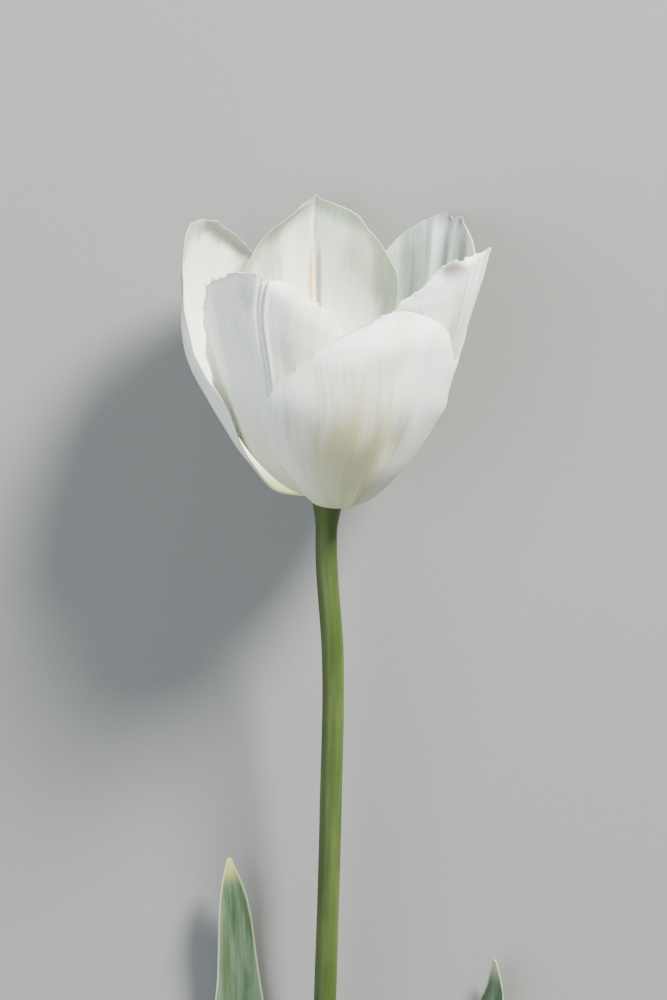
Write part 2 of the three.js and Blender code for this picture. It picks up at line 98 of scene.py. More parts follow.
# The finer form and the tints of each petal, which the plain blades leave out. Lengths are in mm,
# "across" is where a vein lies at the petal's widest, and left is negative:
# grooves   (across, height, half width, from, to): a ridge or, if negative, a furrow along a vein
# pleats    (height, spacing, phase) of soft lengthwise folds
# ragged    (depth, spacing) of the torn margin towards the tip, left and right
# fringe    (depth, spacing) of its fine teeth
# ruffle    (height, spacing) of its waves
# lips      (side, from, fade low, fade high, width, angle): a rim that bends in
# notches   (across, half width, depth) in the tip; a nib if negative
# juts      (side, run from the tip, half length, reach): where the margin stands further out, or in
# midrib    (share of the length, across): where the midrib runs
# fan       how much the veins spread towards the tip
# thin (width, from, tint, strength): painted shade along the upper margin, for the shade under a rim that
# curls in and the dark seen through the thin tissue
# stains_and_painted_light (across, along, half width, half length, tint, strength): patches of tint, some
# of them real stains, others painted shade and painted light, as noted at each petal
# seed      starts the petal's random draws; specks, where given, strews a few dark specks
PETALS = [
    {
        "name": "petal_outer_front", "ring": "outer", "azimuth": -68,
        "rib": [(20, 7.6), (27.6, 19.2), (33, 32), (35, 43), (35.6, 51.5), (33, 59)],
        "width": (31.5, 24.5), "widest": 0.6, "belly": 1.45, "foot": 0.14, "tip": (2.1, 2.1, 1.9),
        "sway": [(0, 0), (0.3, 0), (0.55, 1), (0.8, 3), (1, 6)],
        "flare_left": [(0, 0), (0.3, 0), (0.6, 1), (1, 1)],
        "grooves": [(0, 0.65, 3.5, 0.05, 0.85), (5, -0.5, 2.5, 0.35, 0.95), (-9, 0.4, 5, 0.2, 0.8),
                    (1.5, -0.25, 0.7, 0.5, 1.1)],
        "pleats": (0.06, 8.0, 0.6), "ragged": ((1.7, 5.0), (0.2, 6.0)), "fringe": (0.35, 1.4),
        "thin": (2.5, 45, "#C9CEC4", 0.3), "ruffle": (0.25, 13.0), "lips": [(1, 0.45, 2, 9, 5, 30)],
        "juts": [(-1, 28, 10, -1.6)], "midrib": [(0, 0), (0.6, 0), (1, -3)], "fan": 0.45,
        # The first two stains are painted shade: the warm olive-grey of this front petal's shaded lower
        # part
        "stains_and_painted_light": [(-9, 30, 20, 34, "#B9B683", 0.85), (-1, 24, 12, 30, "#B2B07C", 0.7),
                   (2, 62, 5, 10, "#CFCEBC", 0.6)],
        "seed": 11,
    },
    {
        "name": "petal_inner_front_left", "ring": "inner", "azimuth": -127,
        "rib": [(17.7, 9.4), (25.4, 21.3), (30.4, 34), (32.2, 47), (32.3, 59), (31.5, 68)],
        "width": (26, 24.8), "widest": 0.64, "belly": 1.15, "foot": 0.15, "tip": (2.1, 2.4, 2.0),
        "bend": [(0, 1 / 14), (0.2, 1 / 22), (0.4, 1 / 28), (0.6, 1 / 29), (1, 1 / 26)],
        "flare_left": [(0, 0), (0.5, 1), (1, 3)],
        "flare_right": [(0, 0), (0.5, -3), (1, -3)],
        "grooves": [(-0.8, -0.45, 0.42, 0.12, 1.1), (0.35, -0.45, 0.42, 0.12, 1.1),
                    (1.05, 0.35, 0.45, 0.12, 1.1), (-12, 0.3, 4, 0.3, 1.0)],
        "midrib": [(0, 0), (0.3, 2), (0.55, 4.9), (0.64, 5), (0.77, 3.9), (0.87, 3), (1, 3.6)],
        "juts": [(-1, 19, 4.5, 2.2), (-1, 70, 21, 2.8), (-1, 87, 7, 1.4), (1, 7.4, 1.3, 0.6),
                 (1, 24, 9, 2.0)],
        "notches": [(3.2, 0.9, 0.7)], "fan": 0.5,
        "pleats": (0.07, 7.0, 0.0), "ragged": ((2.0, 4.0), (1.0, 5.0)), "fringe": (1.2, 1.3),
        "thin": (3.0, 55, "#C2C9C0", 0.4),
        "ruffle": (0.4, 8.0), "lips": [(1, 0.6, 4, 10, 5, 40)],
        # Past the warm one at the foot, these are painted shade: over the right half, in the fold under
        # the top margin and along the two furrows of the midrib
        "stains_and_painted_light": [(-3, 24, 16, 24, "#DCD9B2", 0.6), (5, 70, 5, 8, "#B4BBB5", 0.6),
                   (9, 56, 12, 28, "#BDC1B4", 0.7), (-3, 72, 4, 6, "#AEB4AE", 0.6),
                   (-0.8, 45, 0.3, 45, "#A9AFA5", 0.6), (0.35, 45, 0.3, 45, "#A9AFA5", 0.7)],
        "seed": 23, "specks": True,
    },
    {
        "name": "petal_outer_left", "ring": "outer", "azimuth": 157,
        "rib": [(19.6, 8.5), (27, 19), (33.8, 33), (37, 47), (36.5, 59), (35, 71)],
        "width": (32, 34), "widest": 0.5, "belly": 1.5, "foot": 0.13, "tip": (2.0, 1.8, 1.8),
        "sway": [(0, 0), (0.5, 0), (1, 4)],
        "flare_right": [(0, 0), (0.2, 0.6), (0.35, 1.5), (0.5, 1), (0.65, 0.5), (1, 0)],
        "grooves": [(0, 0.35, 3.0, 0.1, 0.9), (9, -0.25, 1.5, 0.45, 0.95), (3, 0.7, 8, 0.72, 1.2)],
        "juts": [(1, 2.0, 4, 0.7), (-1, 4.5, 5, 0.9)],
        "pleats": (0.08, 8.0, 1.2), "ragged": ((0.4, 4.0), (0.15, 9.0)), "fringe": (0.06, 1.2),
        # The rim shade here is strong: painted shade under the tip that curls in
        "ruffle": (0.30, 12.0), "lips": [(-1, 0.76, -1, 5, 6.0, 60)], "thin": (7.5, 62, "#8A958B", 0.85),
        "stains_and_painted_light": [(10, 30, 14, 26, "#CFD2BC", 0.5)],
        "seed": 37,
    },
    {
        "name": "petal_inner_back", "ring": "inner", "azimuth": 96,
        "rib": [(17.5, 9.4), (25.5, 21.5), (31, 35), (33, 49), (31.5, 61), (28, 73)],
        "width": (24.5, 24), "widest": 0.72, "belly": 1.9, "foot": 0.16, "tip": (1.7, 1.5, 1.5),
        "flare_right": [(0, 0), (0.6, 0), (0.85, -4), (1, -2)],
        "fold": [(0, 0), (0.4, 0.6), (0.8, 1.6), (1, 1)],
        "grooves": [(0, 0.55, 0.9, 0.3, 1.0), (8.5, -1.0, 2.6, 0.5, 0.93), (15, 0.4, 3, 0.4, 0.9)],
        "pleats": (0.08, 9.0, 2.0), "ragged": ((0.3, 3.0), (0.4, 5.0)), "fringe": (0.12, 1.2),
        "ruffle": (0.35, 11.0),
        "lips": [(-1, 0.48, 8, 16, 6.5, 55)],
        "juts": [(1, 88, 8.5, 2.6)],
        # The rim shade and the stains are painted light and shade: shade along the upper margin, a warm
        # glow and a dark line on the two walls of the midrib's groove, shade over one half and along the
        # margin that bends in
        "notches": [(0, 16, 1.0), (0, 0.8, -0.7)], "thin": (7, 40, "#92A08C", 0.85),
        "stains_and_painted_light": [(1.2, 58, 1.1, 13, "#DDB154", 0.85), (-1.2, 57, 0.9, 14, "#8E8B72", 0.75),
                   (14, 62, 5, 20, "#AFBBAA", 0.75), (-20.5, 60, 6, 18, "#A2ADA7", 0.85),
                   (5, 78, 7, 4, "#B9C2B6", 0.6)],
        "seed": 41,
    },
    {
        "name": "petal_outer_back_right", "ring": "outer", "azimuth": 42,
        "rib": [(20, 8), (28, 20), (33.5, 32), (37.5, 45), (41.5, 56), (45, 67)],
        "width": (24, 23), "widest": 0.6, "belly": 1, "foot": 0.17, "tip": (2.0, 2.0, 2.0),
        "grooves": [(0, -0.55, 1.7, 0.35, 1.1), (5.5, 0.35, 2.4, 0.4, 0.98), (-3.8, 0.4, 1.5, 0.4, 1.1),
                    (-6.6, -0.35, 1.1, 0.4, 1.1), (-10.5, 0.3, 2.2, 0.4, 0.98)],
        "midrib": [(0, 0), (0.55, 1), (0.76, 2.7), (0.86, 4.3), (0.95, 5.9), (1, 6.2)],
        "pleats": (0.06, 6.5, 0.4), "ragged": ((0.4, 4.0), (0.4, 3.0)), "fringe": (0.15, 1.2),
        "ruffle": (0.4, 9.0), "notches": [(0.4, 1.4, 1.0), (3.6, 2, -0.6), (-3.1, 2, -0.5)],
        "lips": [(-1, 0.15, 0, 6, 7, 40)], "thin": (5.0, 45, "#B3BBB0", 0.35),
        # The first six stains are painted light and shade: shade over the upper inner face and its darker
        # stripes, light along its paler stripes. The two purple-grey patches at the tip are the petal's
        # own colour
        "stains_and_painted_light": [(0, 62, 26, 36, "#A5B0AA", 0.75), (6.8, 64, 4.2, 30, "#7C8A87", 0.8),
                   (-3.8, 70, 1.7, 20, "#7F8C8A", 0.8), (-11, 70, 3.4, 20, "#84918F", 0.8),
                   (0, 66, 1.9, 24, "#D9E0D8", 0.7), (-6.6, 72, 1.2, 14, "#CBD3CE", 0.6),
                   (-2.6, 83, 3.2, 4.5, "#5B5B6A", 0.95), (-8.4, 83, 2.8, 4, "#60606E", 0.95)],
        "seed": 53,
    },
    {
        "name": "petal_inner_right", "ring": "inner", "azimuth": -17,
        "rib": [(17.5, 9.4), (25.3, 21.5), (31.2, 34), (36, 47), (39.6, 58.5), (42.2, 69.5)],
        "width": (27, 24), "widest": 0.6, "belly": 1.2, "foot": 0.15, "tip": (2.1, 2.7, 2.4),
        "bend": [(0, 1 / 14), (0.2, 1 / 22), (0.4, 1 / 28), (0.6, 1 / 27), (0.8, 1 / 23), (1, 1 / 26)],
        "flare_left": [(0, 0), (0.4, -1), (0.6, -4), (0.8, -4.5), (1, -2)],
        "grooves": [(-0.9, -0.6, 0.55, 0.2, 1.1), (1.0, -0.6, 0.55, 0.2, 1.1), (2.4, 0.3, 0.8, 0.2, 1.1),
                    (-4.5, -0.5, 1.6, 0.45, 1.1)],
        "midrib": [(0, 0), (0.25, -0.6), (0.45, -2.2), (0.65, -4.6), (0.8, -6.1), (0.9, -6.5), (1, -6)],
        "juts": [(-1, 12.5, 7, 2.4)], "notches": [(-2.6, 2.2, -1.1)], "fan": 0.3,
        "pleats": (0.07, 6.0, 0.9), "ragged": ((1.2, 3.6), (0.5, 3.0)), "fringe": (0.8, 1.2),
        "thin": (2.5, 50, "#C6CCC4", 0.3),
        "ruffle": (0.35, 8.0),
        # The second, third and fourth stains are painted shade, along the two furrows of the midrib and in
        # a band beside them; the purple-grey patch and the warm foot are the petal's own colour
        "stains_and_painted_light": [(-5, 78.6, 4.5, 4.5, "#6C686D", 0.95), (-0.9, 58, 0.4, 30, "#9A9C95", 0.7),
                   (1.0, 58, 0.4, 30, "#9A9C95", 0.7), (-2.5, 60, 2.2, 22, "#BCBFB6", 0.6),
                   (0, 20, 12, 18, "#DCD9B8", 0.5)],
        "seed": 67,
    },
]

# Stalk and receptacle. The bow is (share of the length, sideways); the neck is (height, radius).
STEM_RADIUS = 2.9
STEM_FOOT_RADIUS = 3.3
STEM_LENGTH = 296.0
STEM_BOW = [(0, 0), (0.035, -0.5), (0.155, 1.2), (0.3, 0.6), (0.5, -1.0), (1, -5)]
CUT_SLANT = radians(12)
CUT_REACH = 17.6                 # how far up the stalk the slant of the cut is felt
NECK = [(-14, 2.9), (-8, 3.0), (-4, 3.6), (-1.6, 4.1), (-0.4, 4.38), (2.4, 4.4)]
RECEPTACLE_TOP = 3.4
STALK_SIDES = 56                 # points round the stalk
STALK_ROWS = (230, 40, 8)        # rows of points along its shaft, its neck and its crown
STALK_SKIN_DROP = 0.06           # the skin lies this much lower, so that its ribs can stand out
STALK_SWELL = (0.05, 34)         # height and spacing of its uneven thickness
RIBS_BEGIN_OVER = 3              # its ribs come in over this length above the cut
RIBS_END = (-8, -2)              # and go out between these heights
STALK_RIBS = [(9, 0.035, 0, 0.004), (17, 0.02, 1, 0)]   # (count, height, phase, twist in each mm)
CROWN_BLUNTNESS = 0.6            # below 1, the receptacle's top is blunter than a dome
CROWN_END = 0.3                  # radius of its last ring
CUT_RINGS = 8                    # rings of points between the cut's edge and its middle
CUT_DIP = (0.25, 0.625)          # depth of the soft ring that sinks in, and how far in it ends
NO_MARGIN = 9.0                  # stands for the distance to a margin where there is none

# Leaves. A leaf's foot clasps the stalk from the height clasp, on the side that it faces, and its
# keel then follows path, as (x, lift above the table, z), to the tip. facing is where the back of
# the leaf faces, in degrees from +X towards +Y; curl is the bend across the blade, in 1/mm; width
# is the half width, wave the depth, count and phase of its edges, and tip the tint of its end.
SHEATH_RADIUS = 4.5
SHEATH_LENGTH = 8.0
HUG = 1 / SHEATH_RADIUS
LEAF_FOOT = 5.0                  # over this length the foot narrows and closes on the stalk
LEAF_FOOT_CLOSING = (0.3, 0.38)  # the share of its width that it loses, and how far it moves in
LEAF_TIP = (9, 1)                # its end's tint comes in between these distances from the tip
LEAF_EDGE_SHIFT = 1.4            # the left edge's waves run ahead of the right one's, in radians
LEAF_ROW_CROWDING = 1.2          # above 1, its rows of faces crowd at the foot as at the tip
LEAF_GRID = (220, 56)            # rows and columns of faces
LEAF_RIM = (0.3, 4.0)            # thickness at the margin, and over what width the leaf thins to it
LEAF_VEINS = (0.05, 1.3)         # height and spacing
LEAF_KEEL = (0.35, 0.9)          # height and half width
LEAVES = [
    {
        "name": "leaf_left", "clasp": -264,
        "path": [(-13, 3.4, -238), (-20, 1.7, -214), (-25.6, -0.1, -180), (-26.2, 2.6, -144),
                 (-27.3, 10, -108.5)],
        "facing": [(0, 150), (0.15, 146), (0.35, 112), (0.55, 100), (0.8, 112), (1, 116)],
        "curl": [(0, HUG), (0.07, HUG), (0.2, 1 / 9), (0.4, 1 / 14), (0.75, 1 / 8), (1, 1 / 5)],
        "width": [(0, 6.8), (0.07, 7.2), (0.2, 11), (0.38, 14.5), (0.55, 13), (0.76, 7.6), (0.93, 4.2),
                  (1, 0.7)],
        "wave": (0.8, 2.4, 0.4), "tip": "#B7B36A",
    },
    {
        "name": "leaf_right", "clasp": -236,
        "path": [(10, 4.8, -211), (20, 2.6, -196), (33, 0.5, -180), (43.5, 1.3, -163),
                 (47.3, 4.2, -150), (46.2, 7, -139.5)],
        "facing": [(0, 35), (0.12, 38), (0.35, 62), (0.6, 62), (1, 30)],
        "curl": [(0, HUG), (0.09, HUG), (0.25, 1 / 8), (0.45, 1 / 10), (0.75, 1 / 7), (1, 1 / 5)],
        "width": [(0, 6.8), (0.09, 7.2), (0.25, 9.5), (0.45, 11.5), (0.65, 10), (0.84, 5.5), (0.95, 3),
                  (1, 0.7)],
        "wave": (0.7, 2.1, 2.2), "tip": "#A9B48A",
    },
]

# The flower's heart. The pistil's stations are (height, radius, how three-sided), a stamen's are
# (height, distance from the flower's axis, half width, half depth).
HEART_FOOT = RECEPTACLE_TOP + SEAT_GAP
PISTIL = [
    (HEART_FOOT, 1.9, 0), (HEART_FOOT + 2, 2.6, 0.05), (HEART_FOOT + 5, 3.8, 0.08), (12, 4.1, 0.1),
    (18, 3.9, 0.1), (22, 3.3, 0.12), (24, 2.7, 0.16), (25.5, 3.3, 0.22), (27, 4.3, 0.3),
    (28.2, 5.1, 0.34), (28.8, 5.0, 0.34), (29.0, 4.4, 0.32),
]
PISTIL_SIDES = 120               # points round the pistil
PISTIL_ROWS = (120, 14)          # rows of points up its side and over its top
OVARY_SEAM = (0.25, 0.08)        # depth and breadth of the three seams
SEAM_BEGIN = (HEART_FOOT + 1, HEART_FOOT + 4)           # they come in between these heights
SEAM_END = (20, 23)              # and go out between these
STIGMA_FROM = 24.5               # the height at which the stigma's velvet begins
STIGMA_FRILLS = [(33, 0.12, 0, 0), (19, 0.1, 1, 0)]     # (count, height, phase, twist in each mm)
STIGMA_CREASE = (0.5, 0.02)      # depth and breadth of the crease in each lobe's edge
FRILLS_FROM = (25.5, 27)         # frills and creases come in between these heights
STIGMA_TOP = (0.25, 0.5, 0.4)    # its rounded edge, the dip towards its middle and its slits' depth
STIGMA_FLOOR = 0.9               # how far the middle of its top lies under its edge
STAMEN = [
    (HEART_FOOT, 3.3, 0.75, 0.75), (HEART_FOOT + 3, 5.0, 0.85, 0.8), (10, 6.8, 0.7, 0.65),
    (14.5, 7.75, 0.45, 0.4), (15.3, 7.85, 0.42, 0.38), (16.0, 7.9, 1.1, 0.65),
    (18.5, 8.1, 1.5, 1.0), (24, 8.5, 1.5, 1.0), (27.5, 8.7, 1.15, 0.78), (28.8, 8.8, 0.35, 0.3),
]
STAMEN_SIDES, STAMEN_ROWS = 32, 100
ANTHER_FROM = 15.7               # the height at which the pollen begins
ANTHER_GROOVE = (0.32, 0.22)     # the groove between its lobes: depth and half width, as shares
GROOVE_FROM = (15.6, 16.6)       # the groove comes in between these heights
FILAMENT_WOBBLE = (0.12, 9)      # how far a stamen wanders sideways, and over what height
WOBBLE_FROM = (HEART_FOOT + 1, 12)                      # it comes in between these heights

# Patterns of the skins, in mm. Real veins, fibres and the card's grain are finer than the render can
# show, so vein_spacing, fibre_spacing and CARD_GRAIN draw them coarser.
PETAL_CLOUD = (9, 14)            # width and length of a petal's soft shades
SPECK_SPACING = 6.25             # between two dark specks
SPECK_RADIUS = (0.125, 0.21875)  # where a speck starts to fade, and where it has gone
PATCH_FADE = (0.6, 1.5)          # the same for a stain and for a patch of painted shade or light, in shares of its size, streaks added
RIM_SHADE_RISE = 14                   # the painted shade along the upper margin comes in over this length
WAX_PATCH = (4.55, 33.3)         # width and length of the patches in the wax
CARD_GRAIN = 1.667               # of the stage's matte card

# The camera looks at a point of the upright flower, from in front of it and a little above.
CAMERA_LOOKS_AT = (1.4, 0.0, -1.0)
CAMERA_ELEVATION = radians(20)   # above the flower's own level
CAMERA_DISTANCE = 1.0            # metres
PICTURE_HEIGHT = 0.26            # metres across the picture's height, at the point looked at
SENSOR = 36.0                    # mm, along the picture's long side

# The stage, in metres. A soft box has a direction from the bloom, a distance, a diameter and a tint.
BLOOM_MIDDLE = (0.0, 0.0, 40.0)  # what the soft boxes point at, on the upright flower, in mm
FLOOR_REACH = 3.0
FLOOR_DROP = 0.02 * MM           # keeps the floor clear of what is pressed flat on the table
SOFT_BOXES = {
    "key": ((0.48, 0.76, 0.44), 1.7, 0.5, "#FFFCF6"),
    "fill": ((-0.62, 0.05, 0.78), 1.8, 1.5, "#EAF1FB"),
}

# Settings of nodes that several materials use
SMOOTH = {"interpolation_type": "SMOOTHSTEP"}
MULTIPLY_ADD = {"operation": "MULTIPLY_ADD"}
MIX_COLOURS = {"data_type": "RGBA"}


def linear(code):
    """An sRGB hex value as linear red, green and blue."""
    shares = [int(code[i:i + 2], 16) / 255 for i in (1, 3, 5)]
    return tuple(c / 12.92 if c <= 0.04045 else ((c + 0.055) / 1.055) ** 2.4 for c in shares)


def lay_down(points):
    """Points of the upright flower, in mm, as places over the table, in metres."""
    x, y, z = points[..., 0], points[..., 1], points[..., 2]
    c, s = cos(LYING_TILT), sin(LYING_TILT)
    placed = np.stack([
        x + CUP_FOOT_PLACE[0],
        z * c + y * s + CUP_FOOT_PLACE[1],
        z * s - y * c + CUP_FOOT_LIFT,
    ], axis=-1)
    return placed * MM


def height_above_table(points):
    return points @ TABLE_UP + CUP_FOOT_LIFT


def smooth(stations, t):
    """A smooth line through stations (t, value, ...), read at every t, and straight beyond its ends."""
    table = np.asarray(stations, float)
    x, y = table[:, 0], table[:, 1:]
    t = np.asarray(t, float)
    step = np.diff(x)[:, None]
    rise = np.diff(y, axis=0) / step
    slope = np.concatenate([rise[:1], np.zeros((len(x) - 2, y.shape[1])), rise[-1:]])
    slope[1:-1] = (rise[:-1] * step[1:] + rise[1:] * step[:-1]) / (step[:-1] + step[1:])
    k = np.clip(np.searchsorted(x, t, side="right") - 1, 0, len(x) - 2)
    h = step[k]
    w = np.clip((t - x[k])[..., None] / h, 0, 1)
    value = ((2 * w ** 3 - 3 * w ** 2 + 1) * y[k] + (w ** 3 - 2 * w ** 2 + w) * h * slope[k]
             + (3 * w ** 2 - 2 * w ** 3) * y[k + 1] + (w ** 3 - w ** 2) * h * slope[k + 1])
    value += np.minimum(t - x[0], 0)[..., None] * slope[0]
    value += np.maximum(t - x[-1], 0)[..., None] * slope[-1]
    return value


def read(stations, t):
    """smooth() for stations with one value."""
    return smooth(stations, t)[..., 0]


def by_length(points):
    """Each point of a line at its share of the length, and the length."""
    points = np.asarray(points, float)
    along = np.concatenate([[0], np.cumsum(np.linalg.norm(np.diff(points, axis=0), axis=1))])
    return np.concatenate([along[:, None] / along[-1], points], axis=1), along[-1]


def step_up(low, high, t):
    """0 below low, 1 above high and smooth between."""
    w = np.clip((t - low) / (high - low), 0, 1)
    return w * w * (3 - 2 * w)


def ripple(t, spacing, seed, turns=5):
    """A random wave between about -1 and 1 whose crests lie about spacing apart."""
    draw = np.random.default_rng(seed)
    wave = np.zeros_like(np.asarray(t, float))
    for _ in range(turns):
        wave += np.sin(2 * pi * t / (spacing * draw.uniform(0.6, 1.9)) + draw.uniform(0, 2 * pi))
    return wave / turns ** 0.5 / 1.4


def tears(t, spacing, seed):
    """Irregular steps: it grows from 0 to about 1 over some stretch, drops and starts again."""
    draw = np.random.default_rng(seed)
    ends = np.cumsum(draw.uniform(0.5, 1.5, int(np.max(t) / spacing * 2) + 4)) * spacing
    starts = np.concatenate([[0], ends[:-1]])
    k = np.searchsorted(ends, t)
    return (t - starts[k]) / (ends[k] - starts[k]) * draw.uniform(0.3, 1, len(ends))[k]


def waves(table, angle, height=0.0):
    """The sum of even waves round an axis, each (count, height, phase, twist in each mm)."""
    return sum(rise * np.cos(count * angle + twist * height + phase)
               for count, rise, phase, twist in table)


def make_piece(node, points, faces, materials, marks=None, face_slots=None):
    """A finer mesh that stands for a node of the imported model. marks are the vectors kept at its
    vertices, which its materials read."""
    mesh = bpy.data.meshes.new("fine_" + node)
    mesh.from_pydata(lay_down(points).tolist(), [], faces)
    if marks is not None:
        layer = mesh.attributes.new("blade", "FLOAT_VECTOR", "POINT")
        layer.data.foreach_set("vector", marks.astype(np.float32).ravel())
    for material in materials:
        mesh.materials.append(material)
    if face_slots is not None:
        mesh.polygons.foreach_set("material_index", face_slots)
    mesh.polygons.foreach_set("use_smooth", [True] * len(mesh.polygons))
    mesh.update()
    mesh.validate()
    piece = bpy.data.objects.new("fine_" + node, mesh)
    bpy.context.scene.collection.objects.link(piece)
    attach(piece, "root")
    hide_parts(node)


def blade_faces(rows, columns):
    """The faces of a thin closed blade: an outer grid, an inner grid after it, and the rim."""
    back = (rows + 1) * (columns + 1)
    i, j = np.meshgrid(np.arange(rows), np.arange(columns), indexing="ij")
    a = (i * (columns + 1) + j).ravel()
    b, c, d = a + 1, a + columns + 2, a + columns + 1
    outer = np.stack([a, b, c, d], axis=1)
    inner = np.stack([a, d, c, b], axis=1) + back
    rim = []
    for i in range(rows):
        left, right = i * (columns + 1), i * (columns + 1) + columns
        up = columns + 1
        rim.append((left, left + up, back + left + up, back + left))
        rim.append((right + up, right, back + right, back + right + up))
    for j in range(columns):
        top = rows * (columns + 1) + j
        rim.append((j + 1, j, back + j, back + j + 1))
        rim.append((top, top + 1, back + top + 1, back + top))
    return np.concatenate([outer, inner, np.array(rim)]).tolist()


def close_blade(outer, inward, thickness):
    """Outer and inner points of a blade. The way inward is the plain blade's, so that the inner face
    doesn't cross itself under a narrow groove. What would reach below the table is pressed flat on it."""
    outer = outer + np.maximum(-height_above_table(outer), 0)[..., None] * TABLE_UP
    inner = outer + inward * thickness[..., None]
    inner += np.maximum(-height_above_table(inner), 0)[..., None] * TABLE_UP
    return np.concatenate([outer.reshape(-1, 3), inner.reshape(-1, 3)])


def make_blade(node, faces, sheet, thickness, material):
    """A petal or a leaf from its outer points, the way inward and what its material reads."""
    outer, inward, *readings = sheet
    marks = np.stack(readings, axis=-1).reshape(-1, 3)
    points = close_blade(outer, inward, thickness)
    make_piece(node, points, faces, [material], np.concatenate([marks, marks]))


def loft_faces(rows, sides):
    """The faces of an open tube through rings of points."""
    i, j = np.meshgrid(np.arange(rows - 1), np.arange(sides), indexing="ij")
    a = (i * sides + j).ravel()
    b = (i * sides + (j + 1) % sides).ravel()
    return np.stack([a, b, b + sides, a + sides], axis=1).tolist()


def shut_tube(rows, sides, change):
    """The faces of a tube through rings of points, shut by a fan at each end, whose middles are the
    two points after the rings. Their material slot is 0 below the row change and 1 above it."""
    count = rows * sides
    faces = loft_faces(rows, sides)
    faces += [((j + 1) % sides, j, count) for j in range(sides)]
    faces += [(count - sides + j, count - sides + (j + 1) % sides, count + 1) for j in range(sides)]
    slots = [0] * (change * sides) + [1] * ((rows - 1 - change) * sides) + [0] * sides + [1] * sides
    return faces, slots


def untangle(sheet, rounds=160, least=0.004):
    """Evens out the cells that a torn margin has folded, and leaves the margin as it is. The sheet's
    first two values lie in its plane, in mm, and the others are carried along."""
    for _ in range(rounds):
        over, up = np.diff(sheet[..., :2], axis=1), np.diff(sheet[..., :2], axis=0)
        smallest = np.full(over[:-1].shape[:2], np.inf)
        for first in (over[:-1], over[1:]):
            for second in (up[:, :-1], up[:, 1:]):
                area = first[..., 0] * second[..., 1] - first[..., 1] * second[..., 0]
                smallest = np.minimum(smallest, area)
        folded = np.pad(smallest < least, 1)
        if not folded.any():
            break
        near = folded[:-1, :-1] | folded[1:, :-1] | folded[:-1, 1:] | folded[1:, 1:]
        middle = (sheet[:-2, 1:-1] + sheet[2:, 1:-1] + sheet[1:-1, :-2] + sheet[1:-1, 2:]) / 4
        inside = near[1:-1, 1:-1]
        sheet[1:-1, 1:-1][inside] = middle[inside]
    return sheet


